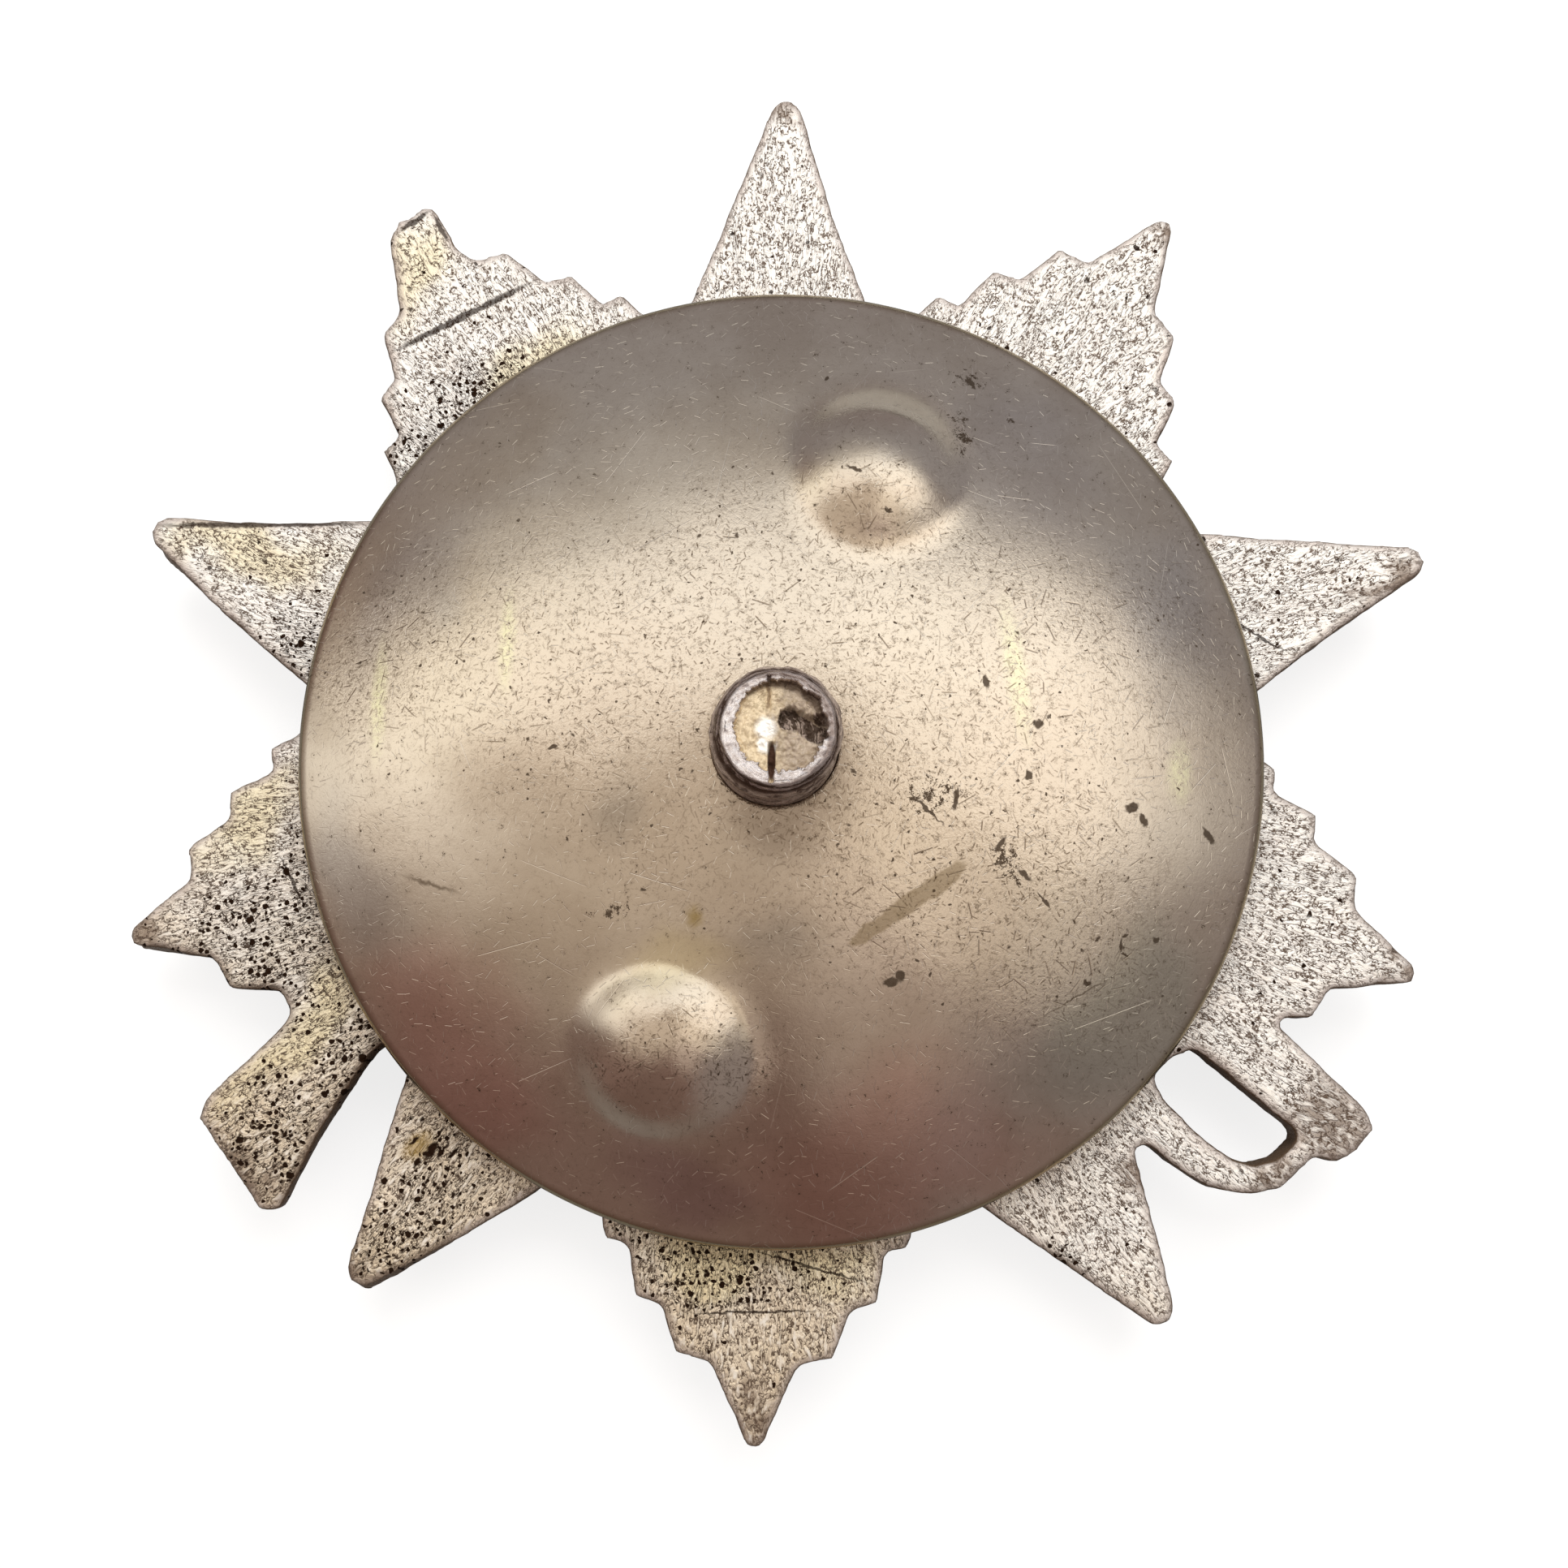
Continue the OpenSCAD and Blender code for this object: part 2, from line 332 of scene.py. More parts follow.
@dataclass(frozen=True)
class CastSilver(Finish):
    """Stamped and pickled silver that has tarnished: a pale crinkled skin, grey cracks, pits, brown edges,
    and painted shade on its walls, in its creases and grooves and towards its lower left.
    """

    bright: str = "#FFFDF7"
    cloud: str = "#FEFAF3"
    # warmer and darker towards the lower left: partly tarnish, partly painted shade
    aged: str = "#DDC9A9"
    # the colours of cracks and creases: partly tarnish in the crevices, partly painted shade in the creases
    grey_marks: str = "#665446"
    brown_marks: str = "#3F2F23"
    yellow: str = "#EFE0B0"
    brown: str = "#857263"
    edge: str = "#CFC1B8"
    # the dark of pits and burns, also used as the painted shade of the grooves
    pit: str = "#2A190D"
    # the steep walls' colour: painted shade
    wall: str = "#735E4C"
    scorch: str = "#B0924F"
    crinkle_mm: float = 0.17
    cloud_mm: float = 1.111
    fine_mm: float = 0.15625
    pit_cells: tuple[float, float] = (0.2381, 0.5556)
    arc_radius: float = 18.0
    along_rays: float = 0.40
    fold_cap: float = 0.14
    ring: tuple[float, float] = (0.038, 0.017)
    crease: tuple[float, float] = (0.045, 0.015)
    scorched: Patch = Patch(-11.15, -13.35, 0.85, 0.6, 40)
    burnt: tuple[Patch, ...] = ovals(
        (-10.7, -13.5, 0.42, 0.20, 55), (-10.32, -13.5, 0.42, 0.08, 55), (-9.98, -13.55, 0.36, 0.09, 48),
        (-10.5, -13.0, 0.36, 0.06, 50), (-11.15, -13.9, 0.22, 0.12, 50), (-11.3, -13.2, 0.26, 0.10, 40))
    # where grooves run, drawn only as dark lines: painted shade of the grooves
    grooves: tuple[Patch, ...] = ovals(
        (-10.95, 14.95, 3.4, 0.17, 28.3), (0.0, -18.3, 2.6, 0.06, 3), (1.9, -16.85, 2.4, 0.06, -14),
        (-15.8, -4.8, 1.3, 0.06, -62), (16.2, 4.2, 1.5, 0.06, -30), (-17.6, 7.46, 4.6, 0.15, 1.4),
        (-12.8, 18.4, 0.8, 0.14, 36), (-11.85, 18.15, 0.6, 0.12, -60))

    def paint(self, g: Graph, place: Node) -> dict[str, object]:
        """Draws the star's own metal: crinkles, cracks, pits, stains and single marks, and painted shade on
        its walls, in its creases and grooves and towards its lower left.

        Args:
            g: The material's graph.
            place: The piece's own coordinates, in millimetres.

        Returns:
            The shader's sources by input, with the relief's height.
        """
        tarnish = (g.add("Attribute", attribute_name=name).outputs["Fac"] for name in TARNISH)
        yellow, brown, pitted, edge, aged = tarnish
        uneven = g.warped(place, 0.24, 0.11)
        flat = g.add("VectorMath", (place, (1, 1, 0)), operation="MULTIPLY")
        radius = g.add("VectorMath", (flat,), operation="LENGTH").outputs["Value"]
        axes = g.add("SeparateXYZ", (place,))
        arc = g.math("MULTIPLY", g.math("ARCTAN2", axes.outputs[1], axes.outputs[0]), self.arc_radius)
        # the crinkles are drawn out along the rays, two or three times as long as they are wide
        drawn = g.add("CombineXYZ", (g.math("MULTIPLY", radius, self.along_rays), arc, axes.outputs[2]))
        drawn = g.warped(drawn, 1.3, 0.32)
        crinkle = g.add("TexNoise", {
            "Vector": drawn, "Scale": 1 / self.crinkle_mm, "Detail": 2.5, "Roughness": 0.6})
        fold = g.math("ABSOLUTE", g.math("SUBTRACT", crinkle, 0.5))
        cloud = g.add("TexNoise", {"Vector": place, "Scale": 1 / self.cloud_mm, "Detail": 3.0})
        fine = g.add("TexNoise", {
            "Vector": place, "Scale": 1 / self.fine_mm, "Detail": 1.5, "Roughness": 0.6, "Distortion": 0.6})
        rings = g.step(g.math("ABSOLUTE", g.math("SUBTRACT", fine, 0.58)), *self.ring)
        rings = g.math("MULTIPLY", rings, g.step(crinkle, 0.60, 0.46))
        creases = g.math("MULTIPLY", g.step(fold, *self.crease), g.step(fine, 0.36, 0.52))
        crowd = g.math("MULTIPLY", pitted, g.step(cloud, 0.25, 0.52))
        small, large = self.pit_cells
        pits = g.math("MAXIMUM", g.pits(uneven, small, 0.37, g.math("MULTIPLY", crowd, 0.72)),
                      g.pits(uneven, large, 0.24, g.math("MULTIPLY", crowd, 0.5)))
        # painted shade of the grooves, as dark lines
        grooves = g.math("MULTIPLY", g.marks(uneven, self.grooves, 0.5), 0.85)
        dark = g.math("MAXIMUM", pits, grooves, g.marks(uneven, self.burnt, 0.5))
        upright = g.add("SeparateXYZ", (g.add("NewGeometry").outputs["Normal"],)).outputs[2]
        # the colour of cracks and creases: partly tarnish, partly painted shade in the creases
        stain = g.coats(self.grey_marks, (pitted, 1, self.brown_marks))
        faded = g.math("MULTIPLY_ADD", edge, -0.45, 0.97)
        colour = g.coats(
            self.bright, (g.step(cloud, 0.38, 0.62), 1, self.cloud),
            # painted shade, with tarnish, warms and darkens the plate towards the lower left
            (g.math("MULTIPLY", aged, g.step(crinkle, 0.84, 0.52)), 1, self.aged), (yellow, 1, self.yellow),
            (edge, 0.75, g.coats(self.edge, (pitted, 1, self.brown))),
            (g.math("MULTIPLY", brown, g.step(crinkle, 0.80, 0.44)), 1, self.brown),
            # dark lines in the cracks and in the creases' valleys: partly tarnish, partly painted shade
            (g.math("MULTIPLY", g.math("MAXIMUM", creases, rings), faded), 1, stain),
            # the steep walls are painted darker: painted shade
            (g.step(upright, 0.90, 0.50), 1, self.wall),
            (g.marks(uneven, (self.scorched,), 0.1), 0.75, self.scorch), (dark, 1, self.pit))
        swell, even = g.math("MULTIPLY_ADD", pitted, 0.14, 0.17), g.math("MULTIPLY_ADD", edge, -0.7, 1.0)
        height = g.math("MULTIPLY", g.math("MINIMUM", fold, self.fold_cap), swell, even)
        height = g.math("SUBTRACT", height, g.math("MULTIPLY", rings, 0.012), g.math("MULTIPLY", pits, 0.05))
        roughness = g.math("MULTIPLY_ADD", dark, 0.4, g.math("MULTIPLY", fine, 0.6))
        return {"Base Color": colour, "Roughness": roughness, "Height": height, "Metallic": 0.45,
                "Specular IOR Level": 0.2}


@dataclass(frozen=True)
class WornNickelSilver(Finish):
    """Spun nickel silver dulled by years of handling: satin, with fine scratches, some painted brighter as
    glints, specks, a brown rim that is a painted reflection, painted lamp streaks and tints that are partly
    tarnish and partly painted reflection and shadow.
    """

    base: str = "#EAE0D0"
    dull: str = "#DBCFBE"
    polished: str = "#F8ECDB"
    nick: str = "#776450"
    # the bright hairline scratches: partly bared metal, partly painted glints
    clean: str = "#FFFAF0"
    # the painted reflection of lamps in the long streaks
    glint: str = "#FFFDD6"
    dirt: str = "#4E3D2C"
    # a brown line round the rim: a painted reflection of brown in the rounded edge
    rim: str = "#8C7A52"
    tan: str = "#B8A481"
    stain: str = "#8F8C88"
    rust: str = "#B39A3C"
    trace: str = "#6E5D48"
    cloud_mm: float = 4.0
    grit_mm: float = 0.25
    grain_mm: float = 0.1111
    pit_cells: tuple[float, float] = (0.4348, 1.25)
    # where the rim's painted reflection lies, in millimetres from the axis
    rim_r: tuple[float, float] = (15.45, 15.75)
    smear: tuple[Patch, ...] = ovals(
        (3.45, -6.05, 1.0, 0.28, 36.5), (4.5, -5.25, 1.3, 0.33, 36.5), (5.5, -4.55, 1.1, 0.36, 36.5))
    pits: tuple[Patch, ...] = ovals(
        (-6.67, -0.64, 0.2, 0.1, 20), (6.8, 1.7, 0.12, 0.26, 10), (8.48, 0.43, 0.22, 0.16),
        (8.18, -1.17, 0.14, 0.2), (11.5, -2.0, 0.3, 0.2, 20), (11.9, -2.4, 0.12, 0.28, 20),
        (14.1, -2.75, 0.14, 0.4, 40), (4.0, -7.66, 0.3, 0.18, 25), (4.3, -7.5, 0.2, 0.2),
        (11.24, -6.3, 0.06, 0.27, -8), (11.38, -6.0, 0.17, 0.055, 24), (11.36, -6.6, 0.15, 0.05, -20),
        (12.4, -6.1, 0.12, 0.14), (10.2, -7.5, 0.16, 0.12), (2.6, 8.35, 0.30, 0.07, -25),
        (3.7, 7.05, 0.16, 0.07, -30), (1.7, 11.95, 0.09, 0.09), (5.0, -2.35, 0.9, 0.06, -42),
        (7.3, -3.35, 0.36, 0.12, 55), (8.1, -4.25, 0.34, 0.1, -42), (5.9, -2.0, 0.1, 0.45, -10),
        (8.7, -5.0, 0.4, 0.06, -48), (6.45, 12.0, 0.08, 0.34, 25))
    chipped: tuple[Patch, ...] = ovals(
        (5.2, -1.9, 1.5, 1.0, 20), (7.6, -4.0, 1.5, 0.8, -42), (6.1, 10.1, 0.5, 1.6, 12),
        (-4.6, -5.7, 1.0, 0.4, 10), (6.3, 12.2, 1.0, 0.6), (7.7, 10.7, 0.5, 0.3, 40))
    stains: tuple[Patch, ...] = ovals((-4.5, -2.6, 1.4, 1.6), (0.5, -6.5, 2.2, 1.4))
    # long upright streaks: painted reflections of tube lamps
    rubbed: tuple[Patch, ...] = ovals(
        (7.75, 2.1, 0.52, 3.0, 9), (-8.3, 2.8, 0.40, 2.2), (-12.6, 1.0, 0.42, 2.6), (13.1, -0.8, 0.6, 1.4))
    long_marks: tuple[Patch, ...] = ovals((-10.5, -4.95, 1.35, 0.11, -16), (9.8, -8.0, 1.9, 0.04, 30))
    spot: Patch = Patch(-2.06, -5.84, 0.4, 0.5)

    def paint(self, g: Graph, place: Node) -> dict[str, object]:
        """Draws the nut's metal: clouds, scratches, specks, tints that are partly tarnish films and partly
        painted reflection and shadow, painted lamp streaks, the smear and the rim's painted reflection.

        Args:
            g: The material's graph.
            place: The piece's own coordinates, in millimetres.

        Returns:
            The shader's sources by input, with the relief's height.
        """
        uneven = g.warped(place, 0.22, 0.13)
        sizes = ((self.cloud_mm, 4.0, 0.65), (self.grit_mm, 4.0, 0.9), (self.grain_mm, 2.0, 0.7))
        cloud, grit, grain = (
            g.add("TexNoise", {"Vector": place, "Scale": 1 / size, "Detail": detail, "Roughness": rough})
            for size, detail, rough in sizes)
        worn = g.add("Attribute", attribute_name="worn").outputs["Fac"]
        scuffed = g.add("Attribute", attribute_name="scuffed").outputs["Fac"]
        # tints from the dome's points: partly tarnish films, partly painted reflections and a painted shadow
        # round the post
        film = g.add("Invert", {"Color": g.add("Attribute", attribute_name="film_loss").outputs["Color"]})
        wear = g.math("MULTIPLY_ADD", worn, 0.85, 0.15)
        nicks = g.math("MULTIPLY", g.scratches(place, 0.16, 0.15, 0.032, 3.7), wear)
        cuts = g.math("MULTIPLY", g.scratches(place, 0.55, 0.40, 0.030, 11.3), wear)
        hair = g.math("MAXIMUM", g.scratches(place, 0.23, 0.24, 0.016, 29.1),
                      g.scratches(place, 2.2, 1.8, 0.018, 53.9))
        chips = g.marks(uneven, self.chipped, 0.1)
        crumbs = g.step(g.math("MULTIPLY_ADD", chips, 0.14, grit), 0.640, 0.665)
        small, large = self.pit_cells
        dirt = g.math("MAXIMUM", crumbs, g.marks(uneven, self.pits, 0.6),
                      g.pits(uneven, small, 0.13, g.math("MULTIPLY", worn, 0.45)),
                      g.pits(uneven, large, 0.08, g.math("MULTIPLY", worn, 0.35)))
        smear = g.marks(g.warped(place, 0.5, 0.16), self.smear, 0.70)
        # painted lamp streaks
        rubbed = g.marks(uneven, self.rubbed, 0.1)
        colour = g.coats(
            self.base, (g.step(cloud, 0.35, 0.65), 1, self.dull), (worn, 0.85, self.polished),
            (g.marks(g.warped(place, 2.0, 0.8), self.stains, 0.1), 0.35, self.stain))
        # the tints multiply the colour: partly tarnish, partly painted reflection and shadow
        colour = g.add("Mix", {0: 1.0, 6: colour, 7: film}, data_type="RGBA", blend_type="MULTIPLY")
        colour = g.coats(
            colour, (g.math("MULTIPLY", g.step(grit, 0.52, 0.60), wear), 0.45, self.nick),
            # painted reflections of lamps along the streaks
            (g.math("MULTIPLY", rubbed, g.step(grit, 0.64, 0.44)), 0.85, self.glint),
            # bright hairline scratches: partly bared metal, partly painted glints
            (hair, 0.65, self.clean), (smear, 0.65, self.tan),
            (g.math("MAXIMUM", nicks, cuts), 0.85, self.nick),
            (g.marks(uneven, (self.spot,), 0.1), 0.6, self.rust),
            # the brown line round the rim: painted reflection
            (g.step(g.from_axis(place), *self.rim_r), 0.75, self.rim),
            (g.marks(uneven, self.long_marks, 0.2), 0.7, self.trace), (dirt, 0.85, self.dirt))
        height = g.math("MULTIPLY", grain, g.math("ADD", wear, 0.3), 0.0044)
        height = g.math("MULTIPLY_ADD", g.math("MAXIMUM", cuts, hair), -0.0035, height)
        roughness = g.math("ADD", g.math("MULTIPLY", g.math("MAXIMUM", smear, dirt), 0.3),
                           g.math("MULTIPLY", wear, 0.05), g.math("MULTIPLY_ADD", scuffed, 0.25, 0.075))
        return {"Base Color": colour, "Roughness": roughness, "Height": height, "Metallic": 1.0}


@dataclass(frozen=True)
class ScrewMetal(Finish):
    """A cut and worn screw of white metal: a lilac silver rim, brown dirt and painted shade in the thread,
    painted highlights on its crests, a golden hollow with a painted shadow under its rim.
    """

    bright: str = "#FBF5F4"
    side: str = "#9A8A84"
    # lighter streaks, and the painted highlights on the thread's crests
    ridge: str = "#C9B7A8"
    # brown dirt, also the painted shade in the thread's roots and low on the side
    dirt: str = "#4A3629"
    gold: str = "#E8D5B4"
    grey: str = "#BBAB98"
    shine: str = "#FFFDF6"
    sand: str = "#94815F"
    slot: str = "#7A6048"
    # the painted shadow under the hollow's rim
    lee: str = "#4F3C2F"
    lees: str = "#A8978C"
    rust: str = "#3B2A20"
    wedge_rust: str = "#4A3226"
    relief: float = 0.8
    fine_mm: float = 0.14286
    crust: tuple[Patch, ...] = ovals(
        (0.06, -0.30, 0.44, 0.48), (-0.02, -0.85, 0.24, 0.36, 10), (0.3, -0.95, 0.12, 0.3, -10))
    cut: Patch = Patch(0.10, 0.75, 0.07, 0.75)
    wedge: Patch = Patch(0.24, -1.30, 0.14, 0.68)
    pits: tuple[Patch, ...] = ovals(
        (0.72, -0.02, 0.38, 0.34, 30), (1.12, -0.14, 0.55, 0.26, -25), (1.55, -0.45, 0.5, 0.3, -10),
        (1.72, -0.02, 0.3, 0.2, -20))

    def paint(self, g: Graph, place: Node) -> dict[str, object]:
        """Draws the post's metal: streaks round it, packed dirt with painted shade in the thread and painted
        highlights on its crests, and the corroded hollow of its end with a painted shadow under its rim.

        Args:
            g: The material's graph.
            place: The piece's own coordinates, in millimetres.

        Returns:
            The shader's sources by input, with the relief's height.
        """
        uneven = g.warped(place, 0.3, 0.12)
        fine = g.add("TexNoise", {
            "Vector": place, "Scale": 1 / self.fine_mm, "Detail": 3.0, "Roughness": 0.7})
        radius = g.from_axis(uneven)
        axes = g.add("SeparateXYZ", (place,))
        deep = g.math("SUBTRACT", END_Z, axes.outputs[2])
        # the cutter's marks run round the post, so the streaks are long round it and thin across
        turned = g.math("ARCTAN2", g.math("SUBTRACT", axes.outputs[1], AXIS[1]),
                        g.math("SUBTRACT", axes.outputs[0], AXIS[0]))
        stretch = ((radius, 11.0), (turned, 2.0), (deep, 6.0))
        around = g.add("CombineXYZ", tuple(g.math("MULTIPLY", *pair) for pair in stretch))
        cloud = g.add("TexNoise", {"Vector": around, "Scale": 0.8, "Detail": 4.0, "Roughness": 0.65})
        crest = g.add("Attribute", attribute_name="crest").outputs["Fac"]
        hollow = g.math("MULTIPLY", g.step(deep, 0.10, 0.22), g.step(radius, 1.66, 1.50))
        side, below = g.step(deep, 0.05, 0.13), g.step(deep, 0.30, 0.46)
        crust, wedge = g.marks(uneven, self.crust, 0.35), g.marks(place, (self.wedge,), 0.7)
        # a painted shadow along the upper inner wall of the hollow
        lee = g.math("MULTIPLY", g.step(radius, 1.24, 1.40), g.step(axes.outputs[1], -0.7, 0.4))
        eaten = g.coats(self.rust, (g.step(cloud, 0.50, 0.58), 1, self.lees))
        floor = g.coats(
            self.gold, (g.step(axes.outputs[0], 0.1, 0.8), 1, self.grey),
            (g.step(fine, 0.50, 0.62), 0.45, self.sand), (crust, 1, self.shine),
            (g.marks(uneven, (self.cut,), 0.5), 0.7, self.slot), (lee, 0.85, self.lee),
            (g.marks(uneven, self.pits, 0.8), 0.93, eaten))
        outer = g.math("MAXIMUM", side, g.math("MULTIPLY", g.step(radius, 1.52, 1.68), 0.8))
        # the side below the shoulder is painted darker: partly packed dirt, partly painted shade
        grime = g.math("MAXIMUM", below, g.math("MULTIPLY", side, g.step(cloud, 0.52, 0.58)))
        # painted highlights on the thread's crests
        ridges = g.math("MULTIPLY", g.step(cloud, 0.66, 0.42), below, g.step(crest, 0.35, 0.85))
        colour = g.coats(
            self.bright, (outer, 1, self.side),
            (g.math("MULTIPLY", side, g.step(cloud, 0.46, 0.38)), 0.7, self.ridge), (grime, 0.9, self.dirt),
            # the thread's roots are painted dark, partly dirt and partly painted shade, and its crests
            # lighter as painted highlights
            (g.math("MULTIPLY", side, g.step(crest, 0.7, 0.2)), 1, self.dirt), (ridges, 0.85, self.ridge),
            (g.step(fine, 0.56, 0.66), 0.25, self.dirt), (hollow, 1, floor), (wedge, 1, self.wedge_rust))
        height = g.math("MULTIPLY_ADD", cloud, 0.07, g.math("MULTIPLY", fine, 0.018))
        roughness = g.math("MULTIPLY_ADD", fine, 0.35, g.math("MULTIPLY_ADD", wedge, 0.5, 0.08))
        dull = g.math("MAXIMUM", crust, wedge, g.math("MULTIPLY", g.math("MAXIMUM", hollow, below), 0.5))
        bare = g.math("MULTIPLY_ADD", dull, -0.65, 0.75)
        return {"Base Color": colour, "Roughness": roughness, "Height": height, "Strength": self.relief,
                "Metallic": bare}


@dataclass(frozen=True)
class Enamel(Finish):
    """Fired glass enamel: a deep even colour under a clear gloss, with tiny bubbles and clouding."""

    colour: str = "#7A0F14"
    deep: str = "#4E070B"
    bubble: str = "#1A0608"
    cloud_mm: float = 1.111
    bubble_cell: float = 0.3846

    def paint(self, g: Graph, place: Node) -> dict[str, object]:
        """Draws the clouded colour and its bubbles.

        Args:
            g: The material's graph.
            place: The piece's own coordinates, in millimetres.

        Returns:
            The shader's sources by input, with the relief's height.
        """
        cloud = g.add("TexNoise", {"Vector": place, "Scale": 1 / self.cloud_mm, "Detail": 4.0})
        bubbles = g.pits(place, self.bubble_cell, 0.12, 0.3)
        colour = g.coats(self.colour, (g.step(cloud, 0.35, 0.65), 1, self.deep), (bubbles, 0.4, self.bubble))
        height = g.math("SUBTRACT", g.math("MULTIPLY", cloud, 0.02), g.math("MULTIPLY", bubbles, 0.01))
        return {"Base Color": colour, "Height": height, "Roughness": 0.12, "IOR": 1.52,
                "Coat Weight": 0.6, "Coat Roughness": 0.05}


@dataclass(frozen=True)
class Gilt(Finish):
    """Fire gilding on brass: warm satin gold, a little worn on its high places."""

    gold: str = "#E3BC62"
    worn: str = "#B98E42"
    cloud_mm: float = 0.6667
    fine_mm: float = 0.0714

    def paint(self, g: Graph, place: Node) -> dict[str, object]:
        """Draws the small star's gilding, which is worn in clouds.

        Args:
            g: The material's graph.
            place: The piece's own coordinates, in millimetres.

        Returns:
            The shader's sources by input, with the relief's height.
        """
        cloud = g.add("TexNoise", {"Vector": place, "Scale": 1 / self.cloud_mm, "Detail": 5.0})
        fine = g.add("TexNoise", {"Vector": place, "Scale": 1 / self.fine_mm, "Detail": 2.0})
        colour = g.coats(self.gold, (g.step(cloud, 0.4, 0.62), 1, self.worn))
        return {"Base Color": colour, "Height": g.math("MULTIPLY", fine, 0.006),
                "Roughness": g.math("MULTIPLY_ADD", cloud, 0.2, 0.18), "Metallic": 1.0}


def deselect() -> None:
    """Leaves edit mode and deselects every object."""
    if bpy.context.object and bpy.context.object.mode != "OBJECT":
        bpy.ops.object.mode_set(mode="OBJECT")
    bpy.ops.object.select_all(action="DESELECT")


def pick(piece: Object) -> None:
    """Makes a piece the only selected and active one.

    Args:
        piece: The piece.
    """
    deselect()
    piece.select_set(True)
    bpy.context.view_layer.objects.active = piece


def finish_with(piece: Object, kind: str, **settings: object) -> None:
    """Adds a modifier to a piece and applies it.

    Args:
        piece: The piece.
        kind: The modifier's type.
        settings: The modifier's own settings.
    """
    pick(piece)
    modifier = piece.modifiers.new(kind.title(), kind)
    for name, value in settings.items():
        setattr(modifier, name, value)
    bpy.ops.object.modifier_apply(modifier=modifier.name)


def turn(name: str, rows: Rows, centre: tuple[float, float], segments: int) -> Object:
    """Turns a profile round a vertical axis, ring by ring, as on a lathe.

    Args:
        name: The piece's name.
        rows: The profile as (radius, height) in millimetres. A profile that ends where it starts closes on
            itself, and one that ends at radius 0 closes in a pole.
        centre: The axis, as (x, y) in millimetres.
        segments: Steps round the axis.

    Returns:
        The piece, with its place in its mesh.
    """
    deselect()
    x, y = centre[0] * MM, centre[1] * MM
    radius, height = rows[0]
    bpy.ops.mesh.primitive_circle_add(vertices=segments, radius=radius * MM, location=(x, y, height * MM))
    piece = bpy.context.object
    piece.name = piece.data.name = name
    bpy.ops.object.transform_apply(location=True, rotation=True, scale=True)
    bpy.ops.object.mode_set(mode="EDIT")
    bpy.ops.mesh.select_all(action="SELECT")
    for (r0, z0), (r1, z1) in zip(rows, rows[1:]):
        bpy.ops.mesh.extrude_region_move(TRANSFORM_OT_translate={"value": (0, 0, (z1 - z0) * MM)})
        if r1 == 0:
            bpy.ops.mesh.merge(type="CENTER")
        elif r1 != r0:
            scale = r1 / r0
            bpy.ops.transform.resize(value=(scale, scale, 1), center_override=(x, y, z1 * MM))
    bpy.ops.mesh.select_all(action="SELECT")
    bpy.ops.mesh.remove_doubles(threshold=0.002 * MM)
    bpy.ops.mesh.normals_make_consistent(inside=False)
    bpy.ops.object.mode_set(mode="OBJECT")
    return piece


def points_of(piece: Object) -> np.ndarray:
    """Reads a mesh's points in millimetres.

    Args:
        piece: The mesh's object.

    Returns:
        One row of x, y and z for each point.
    """
    flat = np.empty(len(piece.data.vertices) * 3)
    piece.data.vertices.foreach_get("co", flat)
    return flat.reshape(-1, 3) / MM


def move_points(piece: Object, points: np.ndarray) -> None:
    """Writes a mesh's points, in millimetres."""
    piece.data.vertices.foreach_set("co", (points * MM).ravel())
    piece.data.update()


def mark(piece: Object, name: str, values: np.ndarray) -> None:
    """Writes a value for each of a mesh's points, for its material to read."""
    piece.data.attributes.new(name, "FLOAT", "POINT").data.foreach_set("value", values)


def soft_noise(points: np.ndarray, size: float, seed: float) -> np.ndarray:
    """Gives smooth noise at each point.

    Args:
        points: The places, in millimetres.
        size: The noise's size in millimetres.
        seed: A shift that gives each use its own pattern.

    Returns:
        A value from about -1 to 1 for each point.
    """
    shift = Vector((seed, seed * 1.7, -seed))
    return np.array([noise.fractal(Vector(p) / size + shift, 0.8, 2.0, 3) for p in points])


def soft_pair(points: np.ndarray, size: float, *seeds: float) -> np.ndarray:
    """Gives a row of two noise values for each point, from two seeds."""
    return np.column_stack([soft_noise(points, size, seed) for seed in seeds])


def smooth_step(value: np.ndarray, low: float, high: float) -> np.ndarray:
    """Goes smoothly from 0 at low to 1 at high."""
    t = np.clip((value - low) / (high - low), 0, 1)
    return t * t * (3 - 2 * t)


def oval_distance(places: np.ndarray, patches: tuple[Patch, ...]) -> np.ndarray:
    """Gives the distance from the nearest patch's middle, where 1 is its edge.

    Args:
        places: One row of x and y for each point, in millimetres.
        patches: The oval places.

    Returns:
        A value for each point.
    """
    nearest = np.full(len(places), FAR)
    for patch in patches:
        x, y, (c, s) = places[:, 0] - patch.x, places[:, 1] - patch.y, patch.way()
        nearest = np.minimum(nearest, np.hypot((c * x + s * y) / patch.rx, (c * y - s * x) / patch.ry))
    return nearest


def spread(places: np.ndarray, patches: tuple[Patch, ...]) -> np.ndarray:
    """Gives each point 1 in the middle of a patch, falling to 0 at its edge."""
    return 1 - smooth_step(oval_distance(places, patches), 0.3, 1.0)


def hand_over(piece: Object, material: Material, body: Body, node: str, slot: Slot,
              sharp: float = 0.0) -> None:
    """Smooths and dresses a finished piece, ties it to its body and lets it stand for its CAD node.

    Args:
        piece: The finished piece.
        material: Its material.
        body: The body that it rides on.
        node: The CAD node that it stands for.
        slot: The record's material slot. It is not used.
        sharp: The angle in degrees from which an edge stays sharp, or 0 where none does.
    """
    pick(piece)
    if sharp:
        bpy.ops.object.shade_smooth_by_angle(angle=math.radians(sharp))
    else:
        bpy.ops.object.shade_smooth()
    piece.data.materials.clear()
    piece.data.materials.append(material)
    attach(piece, body.value)
    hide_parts(node)
    LOG.info("%s: %d faces on %s", piece.name, len(piece.data.polygons), body.value)


